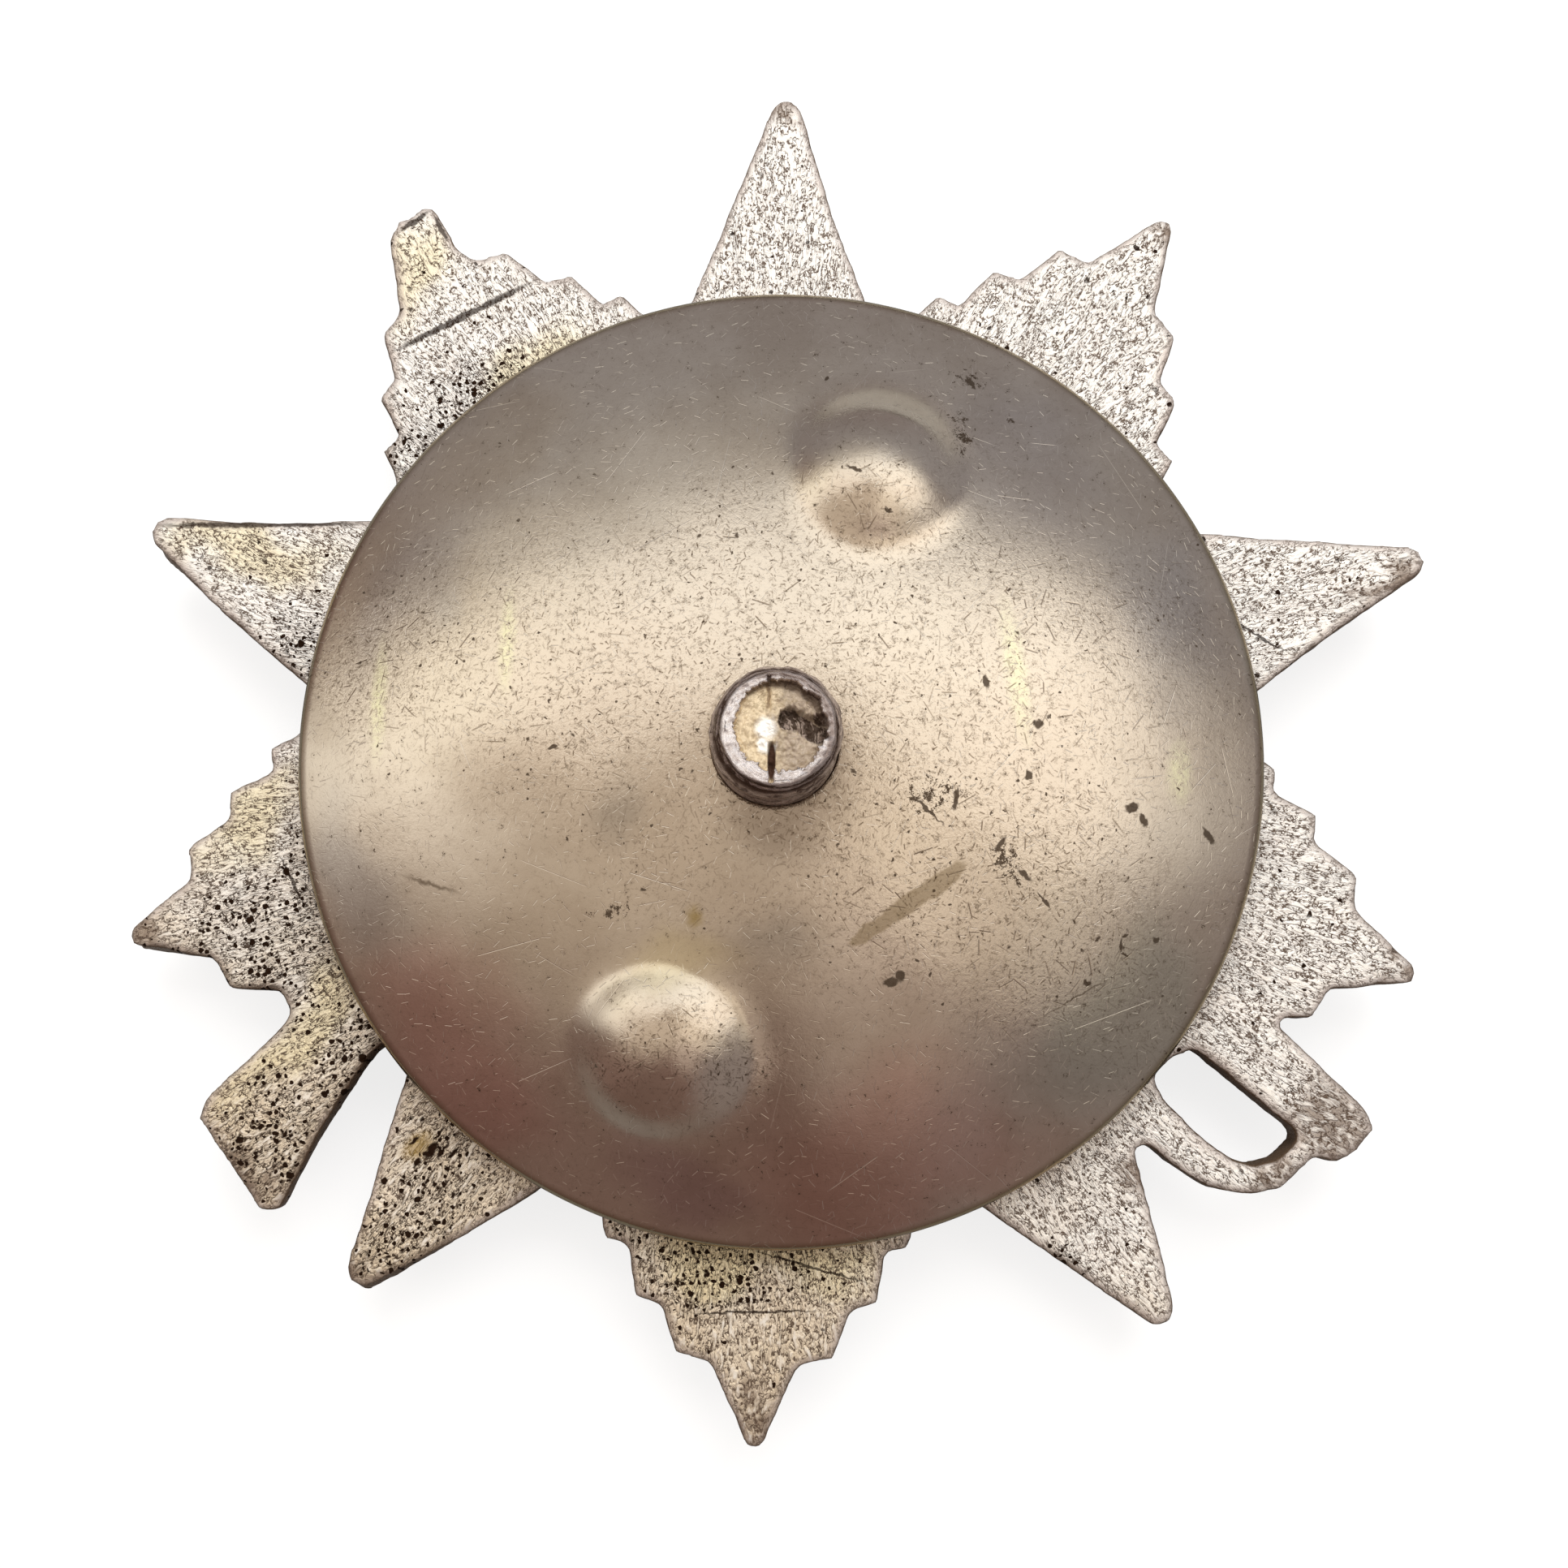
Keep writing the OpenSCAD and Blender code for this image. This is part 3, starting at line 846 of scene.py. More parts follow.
@dataclass
class Star:
    """The star: its cast back, the relief of its front and the enamel in its cells. Sizes in millimetres."""

    back_z: float = 3.4
    front_z: float = 2.0
    voxel: float = 0.166
    soften: int = 3
    wobble: float = 0.04
    swell: float = 0.03
    worn_edge: float = 0.38
    wall_band: tuple[float, float] = (2.3, 3.0)
    block: float = 60.0
    end_size: float = 2.4
    # each end's place, and how far it leans in x and in y
    ends: tuple[tuple[float, float, float, float], ...] = (
        (0.0, 22.2, 0.10, 0.48), (13.1, 18.2, 0.10, 0.46), (8.5, 18.5, 0.15, 0.40),
        (14.5, 12.5, 0.0, 0.15), (21.3, 7.0, 0.34, 0.0), (18.5, 0.3, 0.0, 0.10), (21.3, -6.9, -0.15, 0.0),
        (14.8, -14.0, 0.12, -0.08), (0.0, -22.2, 0.10, -0.05), (-3.8, -18.3, 0.0, -0.15),
        (3.6, -18.3, 0.10, -0.15), (-13.1, -18.1, 0.10, 0.38), (-16.6, -15.1, 0.30, -0.42),
        (-19.2, -12.4, -0.17, 0.0), (-21.2, -6.8, 0.18, 0.16), (-17.6, -9.0, 0.2, 0.0),
        (-21.2, 7.2, 0.0, 0.38), (-12.6, 18.0, -0.10, 0.32), (-7.4, 17.0, 0.10, -0.10),
        (-13.4, 13.4, -0.20, -0.12))
    yellowed: tuple[Patch, ...] = ovals(
        (-12.6, 16.6, 2.6, 1.9, 60), (-18.4, 6.5, 4.2, 1.7, -8), (-17.2, -2.6, 3.4, 1.8, 40),
        (-15.4, -9.6, 4.2, 1.5, 45), (0.4, -16.4, 5.6, 1.4), (-8.0, 13.0, 3, 2, 30))
    browned: tuple[Patch, ...] = ovals(
        (18.5, -11.8, 2.3, 1.6, -48), (16.5, -13.4, 1.4, 0.6, 12), (12.2, -13.6, 1.1, 0.9),
        (-13.2, -18.2, 1.4, 0.9, 54), (-17.0, -14.0, 2.2, 0.7, -45), (14.6, -17.8, 1.6, 0.8, -54),
        (0.1, -21.5, 0.9, 2.0), (-20.9, -6.8, 1.2, 0.8, 20), (21.2, -6.9, 1.4, 0.8, -20),
        (13.2, 18.1, 1.4, 0.8, 54), (20.4, 6.2, 2.4, 0.6, 28), (0.0, 22.4, 1.0, 0.8))
    pitted: tuple[Patch, ...] = ovals(
        (-16.0, -6.6, 5.5, 3.4, 20), (-13.0, -10.6, 3.0, 2.2, -40), (-16.0, -13.0, 3.2, 2.2, 45),
        (-11.0, -15.6, 2.6, 4.6, -28), (-1.0, -16.6, 5.0, 2.0), (-10.9, 11.2, 5.4, 2.0, 30),
        (-14.5, 3.0, 3.4, 1.6, -40), (8.8, -16.4, 2.2, 1.1, -35))

    def draw_ends(self, points: np.ndarray) -> None:
        """Leans the ends of the points and rays by the small amounts that hand filing left them off.

        Args:
            points: The plate's points, which are moved.
        """
        ends = np.array(self.ends)
        away = points[:, None, :2] - ends[None, :, :2]
        weight = np.exp(-(away ** 2).sum(axis=2) / self.end_size ** 2)
        lean = np.clip((points[:, 2] - self.front_z) / 0.7, 0, 1)
        points[:, :2] += lean[:, None] * (weight @ ends[:, 2:]) / np.maximum(weight.sum(axis=1), 1)[:, None]

    def cad_copy(self, name: str) -> Object:
        """Copies the plate's CAD mesh and merges its loose triangles.

        Args:
            name: The copy's name.

        Returns:
            The copy, as a piece of its own.
        """
        piece = bpy.data.objects.new(name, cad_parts["star_plate"].data.copy())
        bpy.context.scene.collection.objects.link(piece)
        piece.data.name = name
        pick(piece)
        bpy.ops.object.mode_set(mode="EDIT")
        bpy.ops.mesh.select_all(action="SELECT")
        bpy.ops.mesh.remove_doubles(threshold=0.001 * MM)
        bpy.ops.object.mode_set(mode="OBJECT")
        return piece

    def keep_between(self, piece: Object, low: float, high: float) -> None:
        """Cuts a piece down to what lies between two heights.

        Args:
            piece: The piece to cut.
            low: The lower height in millimetres.
            high: The upper height.
        """
        deselect()
        bpy.ops.mesh.primitive_cube_add(size=1, location=(0, 0, (low + high) / 2 * MM),
                                        scale=(self.block * MM, self.block * MM, (high - low) * MM))
        block = bpy.context.object
        finish_with(piece, "BOOLEAN", object=block, operation="INTERSECT", solver="EXACT")
        bpy.data.objects.remove(block)

    def edge_wear(self, points: np.ndarray) -> np.ndarray:
        """Finds how near the plate's outline each point is.

        Args:
            points: The plate's points, in millimetres.

        Returns:
            1 at the outline and 0 where the worn edge ends, for each point.
        """
        low, high = self.wall_band
        walls = points[(points[:, 2] > low) & (points[:, 2] < high)]
        tree = KDTree(len(walls))
        for index, wall in enumerate(walls):
            tree.insert((wall[0], wall[1], 0), index)
        tree.balance()
        far = np.array([tree.find((p[0], p[1], 0))[2] for p in points])
        return 1 - smooth_step(far, 0.25 * self.worn_edge, self.worn_edge)

    def build_back(self, material: Material) -> None:
        """Models the cast plate with rounded, uneven edges, and marks where it is tarnished and where painted
        shade darkens it towards the lower left.

        Args:
            material: The star's own metal.
        """
        piece = self.cad_copy("star_back")
        self.keep_between(piece, self.front_z + 0.003, self.back_z - 0.003)
        finish_with(piece, "REMESH", mode="VOXEL", voxel_size=self.voxel * MM, use_smooth_shade=True)
        finish_with(piece, "SMOOTH", factor=0.5, iterations=self.soften)
        points = points_of(piece)
        rough, broad = soft_pair(points, 0.9, 5.0, 13.0), soft_pair(points, 2.4, 21.0, 33.0)
        # how far towards the lower left a point lies, where painted shade, with tarnish, darkens the plate
        downward = -0.35 * points[:, 0] - 0.3 * np.maximum(points[:, 0], 0) - points[:, 1]
        uneven = 0.35 * (rough[:, 0] - 0.2) * (points[:, 2] > 3)
        marks = {
            "yellowed": 0.6 * spread(points[:, :2] + 0.9 * broad, self.yellowed),
            "browned": 0.8 * spread(points[:, :2] + 0.7 * rough, self.browned),
            "pitted": 0.07 + 0.93 * spread(points[:, :2] + 1.2 * broad, self.pitted),
            "aged": 0.85 * smooth_step(downward + 3 * broad[:, 0], 3, 22),
            "edge_worn": np.clip(self.edge_wear(points) + uneven, 0, 1)}
        top = smooth_step(points[:, 2], 2.6, 3.2)
        points[:, :2] += self.wobble * rough
        points[:, 2] += self.swell * top * (broad[:, 0] - 0.8)
        self.draw_ends(points)
        move_points(piece, points)
        for name, values in marks.items():
            mark(piece, name, values)
        hand_over(piece, material, Body.STAR, "star_plate", Slot.SILVER)

    def build_front(self, material: Material) -> None:
        """Models the relief of the front: cell walls, belt rims, ribs and weapons.

        Args:
            material: The star's own metal.
        """
        piece = self.cad_copy("star_front")
        self.keep_between(piece, -1.0, self.front_z - 0.003)
        points = points_of(piece)
        points[points[:, 2] > self.front_z - 0.01, 2] = self.front_z + 0.5
        move_points(piece, points)
        finish_with(piece, "BEVEL", width=0.05 * MM, segments=2, limit_method="ANGLE",
                    angle_limit=math.radians(40), use_clamp_overlap=True)
        hand_over(piece, material, Body.STAR, "star_plate", Slot.SILVER, 35)

    def dress_cells(self, red: Material, white: Material, gilt: Material) -> None:
        """Gives the enamelled nodes and the small centre star their finishes.

        Args:
            red: The enamel of the points and the centre.
            white: The enamel of the belt.
            gilt: The small star's gilding.
        """
        finishes = {"belt_enamel": white, "centre_enamel": red, "centre_star": gilt}
        finishes.update({f"enamel_point_{i}": red for i in range(1, 6)})
        for name, material in finishes.items():
            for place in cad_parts[name].material_slots:
                place.material = material
            LOG.info("%s: CAD node in %s", name, material.name)


@dataclass
class Post:
    """The screw post: a threaded side, and a hollowed, slotted and corroded end. Sizes in millimetres."""

    radius: float = 1.95
    root_z: float = 3.3
    shank_top: float = 4.55
    shoulder: float = 0.46
    lean: tuple[float, float] = (0.11, 0.06)
    pitch: float = 0.7
    thread: float = 0.24
    packed_z: float = 7.62
    hollow_r: float = 1.46
    hollow_depth: float = 0.30
    # the corroded pit runs together from three holes, placed from the axis
    holes: tuple[Patch, ...] = ovals(
        (0.42, 0.34, 0.40, 0.34), (0.85, 0.16, 0.5, 0.30), (1.25, -0.12, 0.46, 0.26))
    segments: int = 180

    def profile(self) -> Rows:
        """Lists the rows of the side and the end, from the foot to the pole.

        Returns:
            The rows, as (radius, height).
        """
        foot = [(2.35, 0), (2.15, 0.12), (1.9, 0.24), (1.82, 0.4), (1.8, 1.15), (1.88, 1.25)]
        rows = [(r, self.root_z + z) for r, z in foot]
        z = self.shank_top + 0.07
        while z < END_Z - self.shoulder:
            rows.append((self.radius - 0.05, z))
            z += 0.055
        for step in range(1, 15):
            rows.append((1.65 + 0.30 * (1 - step / 15) ** 0.8, END_Z - 0.45 * (1 - step / 15)))
        rows.append((1.64, END_Z))
        r = 1.61
        while r > 0.05:
            rows.append((r, END_Z))
            r -= 0.04
        return rows + [(0, END_Z)]

    def cut_thread(self, points: np.ndarray) -> np.ndarray:
        """Winds the worn thread round the side by moving its points in and out.

        Args:
            points: The post's points, which are moved.

        Returns:
            1 on the thread's crest and 0 in its root, for each point.
        """
        away = points[:, :2] - AXIS
        radius = np.hypot(away[:, 0], away[:, 1])
        angle = np.arctan2(away[:, 1], away[:, 0])
        z = points[:, 2]
        rough = soft_noise(np.column_stack([points[:, :2], points[:, 2] * 2.5]), 0.5, 17.0)
        phase = (z / self.pitch - angle / (2 * np.pi) + 0.07 * rough) % 1.0
        crest = 1 - np.abs(2 * phase - 1)
        deep = END_Z - z
        crest = smooth_step(crest, 0.30, 0.66)
        depth = self.thread * (1 - crest) * smooth_step(deep, 0.26, 0.42)
        # the run-out of the worn thread leaves two shallow rings on the shoulder
        rings = sum(np.exp(-((deep - at - 0.05 * rough) / 0.032) ** 2) for at in (0.38, 0.21))
        crest = np.where(deep < self.shoulder, 1 - np.minimum(rings, 1), crest)
        depth = depth + 0.07 * rings + np.clip(0.05 * (rough + 0.5), 0, None)
        # dirt has packed the thread where the nut has stood for years
        clean = smooth_step(np.abs(z - self.packed_z), 0.15, 0.5)
        depth = depth * clean
        side = (z > self.shank_top) & (radius > self.radius - 0.35)
        start = smooth_step(z, self.shank_top, self.shank_top + 0.1)
        full = np.maximum(smooth_step(z, 8.4, 9.0), 1 - clean)
        target = np.where(deep > self.shoulder, self.radius + 0.035 * full, radius)
        new = np.where(side, radius + start * (target - depth - radius), radius)
        points[:, :2] = away * (new / np.maximum(radius, 1e-6))[:, None] + AXIS
        return crest

    def carve_end(self, points: np.ndarray) -> None:
        """Carves the hollow, the slot, the wedge and the pit into the end.

        Args:
            points: The post's points, which are moved.
        """
        x, y = points[:, 0] - AXIS[0], points[:, 1] - AXIS[1]
        radius, angle = np.hypot(x, y), np.arctan2(y, x)
        end = (points[:, 2] > END_Z - 0.005) & (radius < 1.66)
        circle = np.column_stack([np.cos(angle), np.sin(angle), angle * 0]) * 1.5
        wall = self.hollow_r + 0.08 * np.cos(angle - 0.3) - 0.07 * (1 - np.sin(angle))
        wall = wall + 0.06 * soft_noise(circle, 0.6, 3.0) + 0.12 * soft_noise(circle, 0.16, 8.0)
        inside = 1 - smooth_step(radius, wall - 0.10, wall + 0.02)
        lumps = soft_noise(points, 0.42, 41.0)
        grain = soft_noise(points, 0.16, 47.0)
        bowl = 0.75 + 0.3 * smooth_step(radius, 0.2, 1.5)
        drop = self.hollow_depth * inside * (bowl + 0.30 * lumps + 0.09 * grain)
        slot = (1 - smooth_step(np.abs(x + 0.3 + 0.04 * lumps), 0.02, 0.09)) * smooth_step(y, 0.45, 0.9)
        wedge_w = 0.13 - 0.05 * smooth_step(-y, 0.5, 1.5)
        wedge = (1 - smooth_step(np.abs(x + 0.17) / wedge_w, 0.5, 1.1)) * (1 - smooth_step(y, -0.5, -0.36))
        hole = oval_distance(np.column_stack([x, y]), self.holes)
        pit = 1 - smooth_step(hole + 0.22 * grain, 0.75, 1.1)
        rim = smooth_step(radius, wall, wall + 0.05)
        drop = drop + (0.10 + 0.10 * rim) * slot + 0.24 * wedge + 0.42 * pit * (1 - rim)
        worn = 0.06 * (soft_noise(points, 0.3, 9.0) + 0.5) + 0.05 * smooth_step(-radius, -wall - 0.16, -wall)
        drop = drop + rim * worn
        points[:, 2] -= np.where(end, drop, 0)
        # the sawn end stands a little off the thread's middle
        points[:, :2] += smooth_step(points[:, 2], END_Z - 0.9, END_Z - 0.3)[:, None] * np.array(self.lean)

    def build(self, material: Material) -> None:
        """Models the post.

        Args:
            material: The post's metal.
        """
        piece = turn("screw_post", self.profile(), AXIS, self.segments)
        points = points_of(piece)
        crest = self.cut_thread(points)
        self.carve_end(points)
        move_points(piece, points)
        mark(piece, "crest", crest)
        hand_over(piece, material, Body.STAR, "star_plate", Slot.SILVER)


@dataclass
class Nut:
    """The nut: a domed disc with two thumb bumps, and the threaded collar under it. Sizes in millimetres."""

    disc_r: float = 15.8
    dome_r: float = 39.474
    dome_z: float = -31.574
    wall: float = 0.6
    hole_r: float = 1.99
    rim_z: float = 4.6
    rim_low: float = 4.1
    # each bump's distance from the axis and its direction in degrees
    bumps: tuple[tuple[float, float], ...] = ((9.7, 71.5), (10.25, 250.8))
    bump_ball: float = 4.705
    bump_h: float = 0.92
    shoulder: float = 0.20
    fillet: tuple[float, float] = (3.0, 3.8)
    sag: float = 0.018
    socket: tuple[tuple[float, float], ...] = (
        (3.7, 6.65), (3.62, 6.6), (2.9, 6.6), (2.84, 6.66), (2.84, 7.14))
    segments: int = 256
    collar_segments: int = 96
    thread_z: tuple[float, float] = (4.85, 7.0)
    half_pitch: float = 0.35
    worn: tuple[Patch, ...] = ovals(
        (0.5, 2.0, 19.0, 8.2, 3), (6.5, -4.0, 10.0, 7.5, -20), (3.4, 8.2, 3.4, 2.8),
        (-3.1, -9.8, 3.2, 3.0), (-11.8, 1.5, 4.5, 4.0))
    # each tint, and the shares of red, green and blue light that it leaves; the tints are partly tarnish
    # films and partly painted reflections, and the dark one round the post is a painted shadow with some dirt
    films: tuple[tuple[Patch, tuple[float, float, float]], ...] = (
        (Patch(-9.4, -10.3, 5.6, 3.0, -45), (0.98, 0.79, 0.81)),
        (Patch(3.9, -13.4, 6.4, 4.0, 8), (1.0, 0.85, 0.86)),
        (Patch(-2.4, -14.2, 2.6, 1.6), (0.84, 0.78, 0.84)),
        # round the post: a painted shadow, with some dirt
        (Patch(0.3, -2.0, 3.4, 3.0), (0.60, 0.58, 0.57)),
        (Patch(8.6, 9.2, 4.0, 3.4, -40), (0.92, 0.93, 0.98)),
        (Patch(12.6, 3.8, 4.6, 2.6, -70), (0.82, 0.85, 0.91)),
        (Patch(11.5, -8.5, 4.5, 2.6, 50), (0.82, 0.88, 0.88)),
        (Patch(-11.6, 4.4, 4.6, 2.4, 60), (0.90, 0.93, 1.0)),
        (Patch(-9.0, 9.8, 3.6, 2.4, 40), (0.98, 0.95, 0.90)),
        (Patch(-2.6, -6.6, 2.4, 1.6), (1.0, 0.98, 0.85)),
        (Patch(8.5, -13.4, 3.0, 1.6, 30), (0.94, 0.84, 0.80)),
        (Patch(-13.0, -4.6, 4.0, 2.0, -62), (0.80, 0.82, 0.87)),
        (Patch(-7.8, -1.6, 3.6, 2.4), (0.90, 0.88, 0.86)))

    def dome(self, radius: float, inset: float = 0.0) -> float:
        """Gives the dome's height at a radius, or that of its inner face."""
        return self.dome_z + math.sqrt((self.dome_r - inset) ** 2 - radius ** 2)

    def disc_profile(self) -> Rows:
        """Lists the disc's rows: over the dome, round the rim and back under it to the hole.

        Returns:
            The rows, as (radius, height), closed on themselves.
        """
        lip = self.dome(self.hole_r)
        rows = [(self.hole_r, lip - 0.05), (self.hole_r + 0.03, lip - 0.01)]
        r = self.hole_r + 0.14
        while r < self.disc_r - 0.25:
            rows.append((r, self.dome(r)))
            r += 0.19
        rows += [(self.disc_r - 0.16, self.dome(self.disc_r - 0.16)), (self.disc_r - 0.06, self.rim_z - 0.03),
                 (self.disc_r, self.rim_z - 0.12), (self.disc_r, self.rim_low + 0.1),
                 (self.disc_r - 0.08, self.rim_low + 0.02), (self.disc_r - 0.3, self.rim_low)]
        r = 15.4
        while r > 3.8:
            rows.append((r, self.dome(r, self.wall)))
            r -= 0.8
        rows += [(3.75, self.dome(3.75, self.wall)), *self.socket, (self.hole_r + 0.08, self.socket[-1][1])]
        return rows + [rows[0]]

    def raise_bumps(self, points: np.ndarray) -> np.ndarray:
        """Pushes the two thumb bumps up out of the sheet, and lets the rest of it sag a little.

        Args:
            points: The disc's points, which are moved.

        Returns:
            How far cloth has scuffed each point: 1 on the bumps' outer flanks.
        """
        scuffed = np.zeros(len(points))
        for distance, angle in self.bumps:
            way = math.radians(angle)
            at = np.array(AXIS) + distance * np.array([math.cos(way), math.sin(way)])
            base = np.array([*at, self.dome(distance)])
            out = base - np.array([*AXIS, self.dome_z])
            out /= np.linalg.norm(out)
            away = points - base
            gap = np.linalg.norm(away - np.outer(away @ out, out), axis=1)
            ball = np.sqrt(np.maximum(self.bump_ball ** 2 - gap ** 2, 0)) - (self.bump_ball - self.bump_h)
            # the sheet flows into the bump over a small fillet, which fades out beyond it
            rise = 0.5 * (ball + np.sqrt(ball ** 2 + self.shoulder ** 2))
            rise *= 1 - smooth_step(gap, *self.fillet)
            near = (gap < self.fillet[1]) & (np.abs(away @ out) < 2.0)
            points[near] += rise[near, None] * out
            flank = smooth_step(gap, 1.3, 2.3) * (1 - smooth_step(gap, 2.9, 3.7))
            flank *= smooth_step((away[:, :2] @ (at - AXIS)) / distance / np.maximum(gap, 0.1), -0.2, 0.6)
            scuffed = np.maximum(scuffed, np.where(near, flank, 0))
        radius = np.hypot(points[:, 0] - AXIS[0], points[:, 1] - AXIS[1])
        amount = self.sag * smooth_step(radius, 2.4, 5.0) * smooth_step(-radius, -15.9, -14.0)
        flat = np.column_stack([points[:, :2], np.zeros(len(points))])
        points[:, 2] += amount * (soft_noise(flat, 5.5, 61.0) - 0.9)
        return scuffed

    def tarnish(self, piece: Object, points: np.ndarray) -> None:
        """Marks where handling has scratched the dome, and the colour that its tints take from it: partly
        tarnish films, partly painted reflections and a painted shadow round the post.

        Args:
            piece: The disc.
            points: Its points, in millimetres.
        """
        broad = soft_pair(points, 5.0, 71.0, 83.0)
        places = points[:, :2] + 1.2 * broad
        # tints: partly tarnish films, partly painted reflections and shadow
        film = np.ones((len(points), 4))
        for patch, tint in self.films:
            film[:, :3] *= 1 - spread(places, (patch,))[:, None] * (1 - np.array(tint))
        worn = spread(points[:, :2] + 2.5 * broad, self.worn)
        mark(piece, "worn", worn)
        film[:, :3] = 1 - film[:, :3]
        loss = piece.data.attributes.new("film_loss", "FLOAT_COLOR", "POINT")
        loss.data.foreach_set("color", film.ravel())

    def build_disc(self, material: Material) -> None:
        """Models the domed disc.

        Args:
            material: The nut's metal.
        """
        piece = turn("nut_dome", self.disc_profile(), AXIS, self.segments)
        points = points_of(piece)
        scuffed = self.raise_bumps(points)
        move_points(piece, points)
        self.tarnish(piece, points)
        mark(piece, "scuffed", scuffed)
        hand_over(piece, material, Body.DISC, "nut_disc", Slot.NUT, 40)

    def build_collar(self, material: Material) -> None:
        """Models the threaded collar, with chamfers, a soldered flare at its top and a thread in its bore.

        Args:
            material: The nut's metal.
        """
        rows = [(2.25, 4.6), (3.1, 4.6), (3.3, 4.8), (3.3, 6.1), (3.3, 6.4), (3.24, 6.5), (3.1, 6.58),
                (2.8, 6.58), (2.8, 7.02), (2.74, 7.08), (2.2, 7.08)]
        low, z = self.thread_z
        while z > low:
            rows += [(2.07, z), (2.07, z - 0.08), (2.2, z - 0.2), (2.2, z - 0.23)]
            z -= self.half_pitch
        rows += [(2.12, 4.68), rows[0]]
        piece = turn("nut_collar_ring", rows, AXIS, self.collar_segments)
        hand_over(piece, material, Body.COLLAR, "nut_collar", Slot.NUT, 30)


@dataclass(frozen=True)
class Panel(Patch):
    """A soft light panel of the studio: an oval round a direction, how firm its edge is, and its light."""

    firm: float = 1.0
    light: tuple[float, float, float] = (1.0, 1.0, 1.0)


@dataclass(frozen=True)
class Lamp:
    """A square soft lamp over the table: its place and side in millimetres, and its power in watts."""

    name: str
    x: float
    y: float
    z: float
    side: float
    power: float


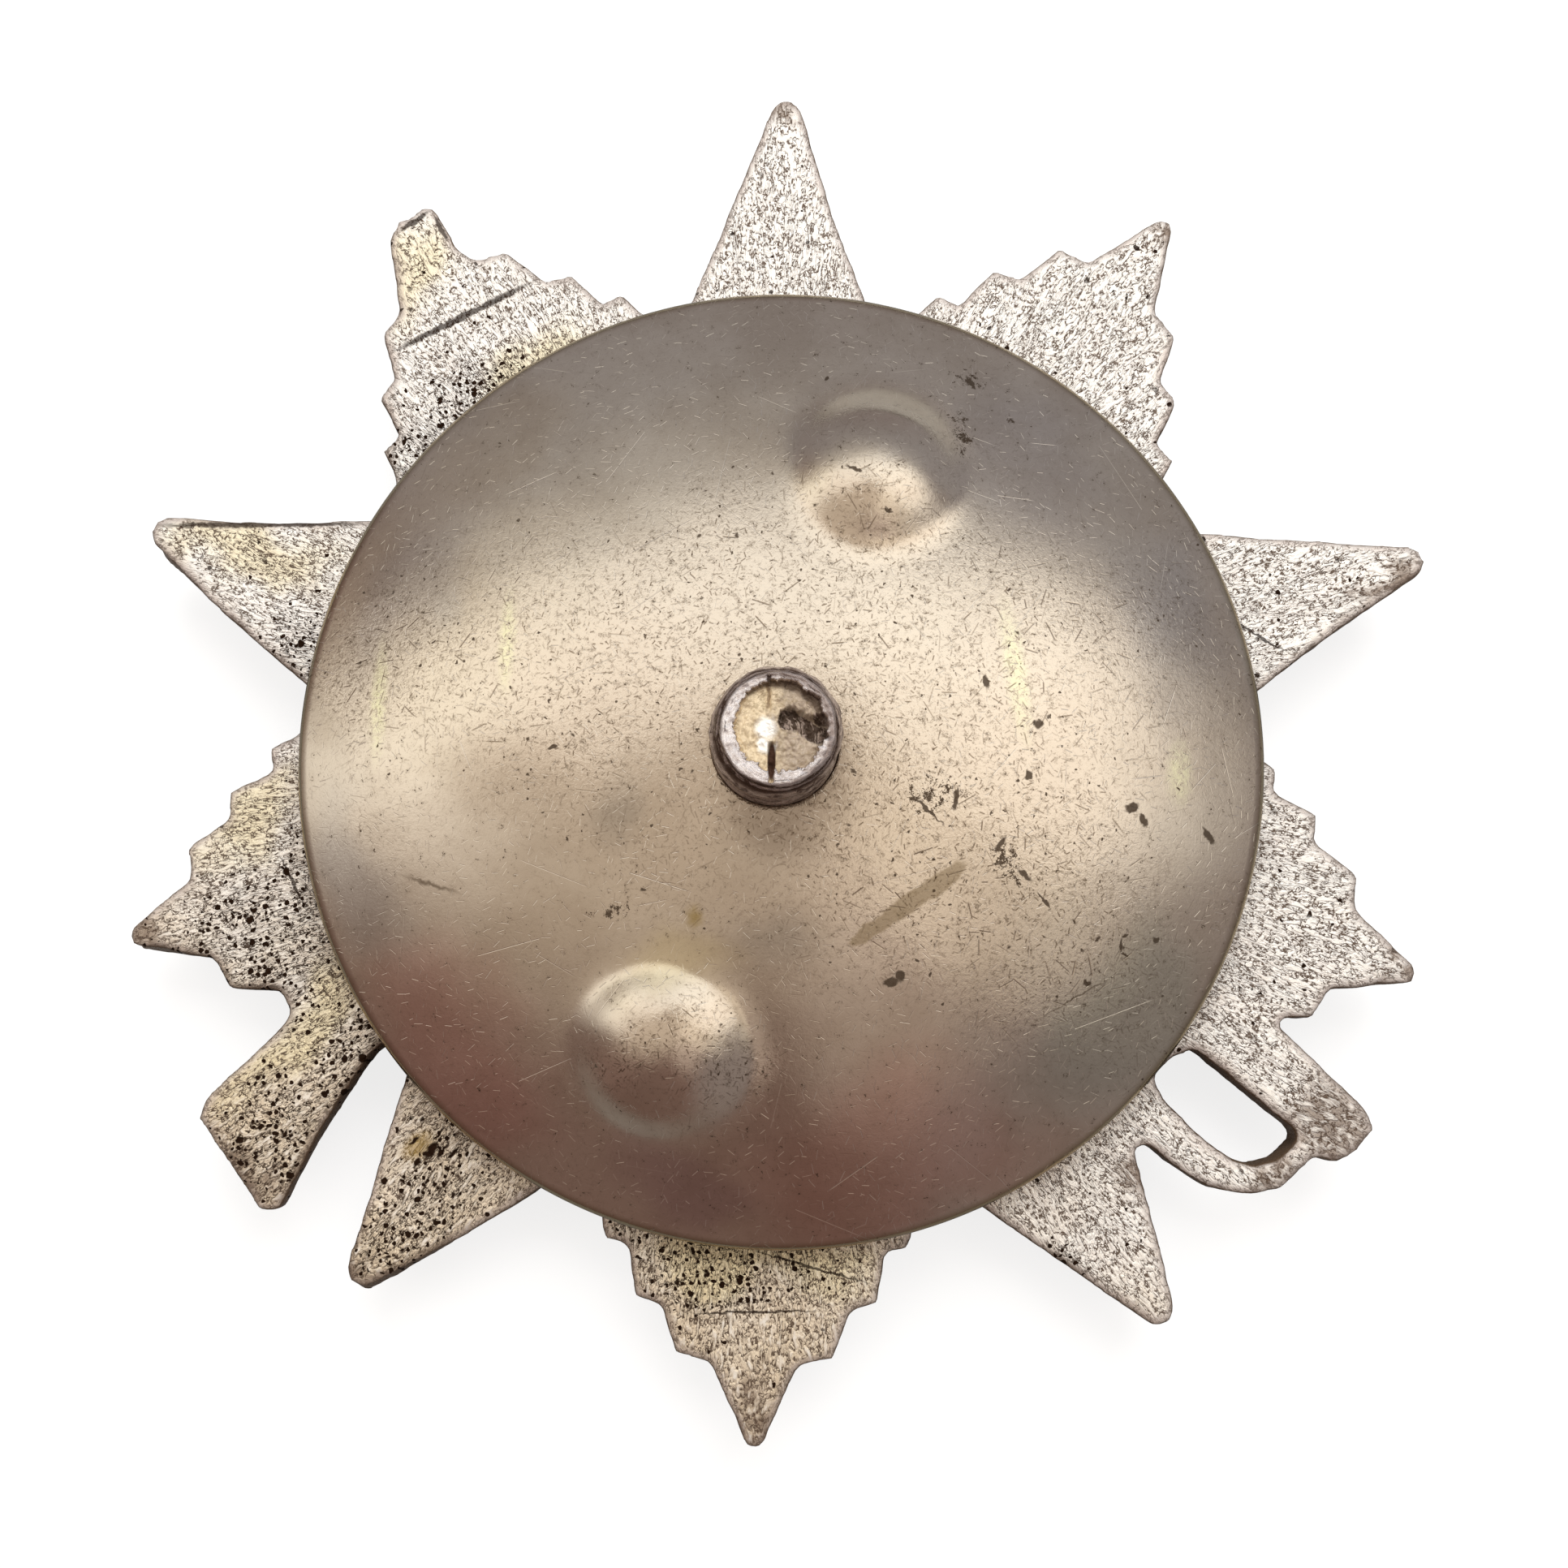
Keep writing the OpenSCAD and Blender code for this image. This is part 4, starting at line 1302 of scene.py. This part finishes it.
@dataclass
class Studio:
    """A pale floor, a soft studio of light panels and the camera."""

    # the light that comes from everywhere between the panels
    dim: tuple[float, float, float] = (0.175, 0.114, 0.098)
    camera_mm: tuple[float, float, float] = (0.99, -8.34, 59.18)
    # the camera's turns about x, y and z, in degrees
    camera_turns: tuple[float, float, float] = (6.38, 2.33, 1.28)
    focal_px: float = 2078.0
    centre_px: tuple[float, float] = (-70.0, 34.0)
    image_px: float = 1932.0
    floor_glow: float = 0.80
    card: str = "#8F8F8E"
    backdrop: str = "#FCFCFB"
    # what stands round the badge, fitted to the shading that the dome mirrors in the photograph
    panels: tuple[Panel, ...] = (
        Panel(0.179, 0.651, 1.1, 0.399, -7.8, 1.185, (0.113, 0.16, 0.19)),
        Panel(0.24, -0.305, 0.319, 0.203, 79.3, 0.929, (0.232, 0.214, 0.189)),
        Panel(0.461, 0.227, 0.248, 0.404, 54.3, 1.5, (0.573, 0.566, 0.532)),
        Panel(0.412, -0.13, 0.284, 0.18, -38.6, 0.914, (0.327, 0.309, 0.255)),
        Panel(-0.197, 0.151, 0.536, 0.66, -50.0, 1.5, (0.375, 0.35, 0.288)),
        Panel(-0.25, 0.365, 0.554, 0.207, 23.9, 0.827, (0.422, 0.426, 0.419)),
        Panel(0.581, 0.19, 0.374, 0.184, 107.5, 0.536, (0.33, 0.304, 0.258)),
        Panel(-0.687, 0.266, 0.304, 0.14, 47.7, 0.0, (0.361, 0.372, 0.319)),
        Panel(0.846, -0.213, 1.1, 0.324, 62.1, 1.5, (0.055, 0.081, 0.09)),
        Panel(-0.783, 0.035, 0.21, 0.14, 140.2, 0.0, (0.438, 0.436, 0.417)))
    lamps: tuple[Lamp, ...] = (
        Lamp("key_lamp", 15, 75, 100, 100, 0.166), Lamp("side_lamp", -70, 10, 90, 70, 0.015),
        Lamp("fill_lamp", 75, -40, 90, 70, 0.012))

    def build_light(self) -> None:
        """Fills the world with soft panels, and shows the camera a plain pale backdrop."""
        world = bpy.data.worlds.new("soft_studio")
        world.use_nodes = True
        bpy.context.scene.world = world
        g = Graph(world.node_tree)
        way = g.add("TexCoord").outputs["Generated"]
        total = g.add("CombineXYZ", self.dim)
        for panel in self.panels:
            far = g.distance_from(way, panel)
            fall = g.math("POWER", 1 / math.e, g.math("POWER", far, 2 * (1 + panel.firm)))
            total = g.add("VectorMath", (fall, panel.light, total), operation="MULTIPLY_ADD")
        seen = g.add("LightPath").outputs["Is Camera Ray"]
        light = g.add("Background", (total, 1.0))
        backdrop = g.add("Background", (srgb(self.backdrop), 1.0))
        g.add("OutputWorld", (g.add("MixShader", (seen, light, backdrop)),))

    def build_lamps(self) -> None:
        """Hangs soft lamps that light frosted and enamelled faces, and that polished metal doesn't mirror."""
        for lamp in self.lamps:
            data = bpy.data.lights.new(lamp.name, "AREA")
            data.shape, data.size, data.energy = "SQUARE", lamp.side * MM, lamp.power
            place = Vector((lamp.x, lamp.y, lamp.z)) * MM
            light = bpy.data.objects.new(lamp.name, data)
            aim = place.to_track_quat("Z", "Y").to_matrix().to_4x4()
            light.matrix_world = Matrix.Translation(place) @ aim
            light.visible_glossy = light.visible_camera = False
            bpy.context.scene.collection.objects.link(light)

    def build_floor(self) -> None:
        """Lays the plain pale floor."""
        deselect()
        bpy.ops.mesh.primitive_plane_add(size=3.0, location=(0, 0, -0.02 * MM))
        floor = bpy.context.object
        floor.name = "floor"
        material = bpy.data.materials.new("white_card")
        material.use_nodes = True
        g = Graph(material.node_tree)
        glow = g.math("MULTIPLY", g.add("LightPath").outputs["Is Camera Ray"], self.floor_glow)
        shader = g.add("BsdfPrincipled", {
            "Base Color": srgb(self.card), "Roughness": 0.9, "Specular IOR Level": 0.1,
            "Emission Color": (1, 1, 1, 1), "Emission Strength": glow})
        g.add("OutputMaterial", (shader,))
        floor.data.materials.append(material)

    def build_camera(self) -> None:
        """Sets the camera where the photograph was taken from."""
        data = bpy.data.cameras.new("camera")
        data.sensor_width = 36.0
        data.lens = self.focal_px / self.image_px * data.sensor_width
        data.shift_x = -self.centre_px[0] / self.image_px
        data.shift_y = self.centre_px[1] / self.image_px
        data.clip_start, data.clip_end = 0.001, 20.0
        camera = bpy.data.objects.new("camera", data)
        bpy.context.scene.collection.objects.link(camera)
        rx, ry, rz = (math.radians(a) for a in self.camera_turns)
        turn_all = Matrix.Rotation(rx, 4, "X") @ Matrix.Rotation(ry, 4, "Y") @ Matrix.Rotation(rz, 4, "Z")
        camera.matrix_world = Matrix.Translation(Vector(self.camera_mm) * MM) @ turn_all
        bpy.context.scene.camera = camera

    def build(self) -> None:
        """Makes the floor, the light and the camera, and plain colour handling."""
        self.build_floor()
        self.build_light()
        self.build_lamps()
        self.build_camera()
        view = bpy.context.scene.view_settings
        view.view_transform, view.look = "Standard", "None"
        view.exposure, view.gamma = 0.0, 1.0


def main() -> None:
    """Builds and dresses every piece, the studio and the camera."""
    logging.basicConfig(level=logging.INFO, format="%(message)s")
    silver = CastSilver("tarnished_cast_silver").build()
    nickel = WornNickelSilver("worn_nickel_silver").build()
    screw = ScrewMetal("worn_screw_metal").build()
    red = Enamel("red_fired_enamel").build()
    white = Enamel("white_fired_enamel", "#E9E6DC", "#D9D4C6").build()
    gilt = Gilt("fire_gilding").build()
    star = Star()
    star.build_back(silver)
    star.build_front(silver)
    star.dress_cells(red, white, gilt)
    Post().build(screw)
    nut = Nut()
    nut.build_disc(nickel)
    nut.build_collar(nickel)
    Studio().build()


if __name__ == "__main__":
    main()
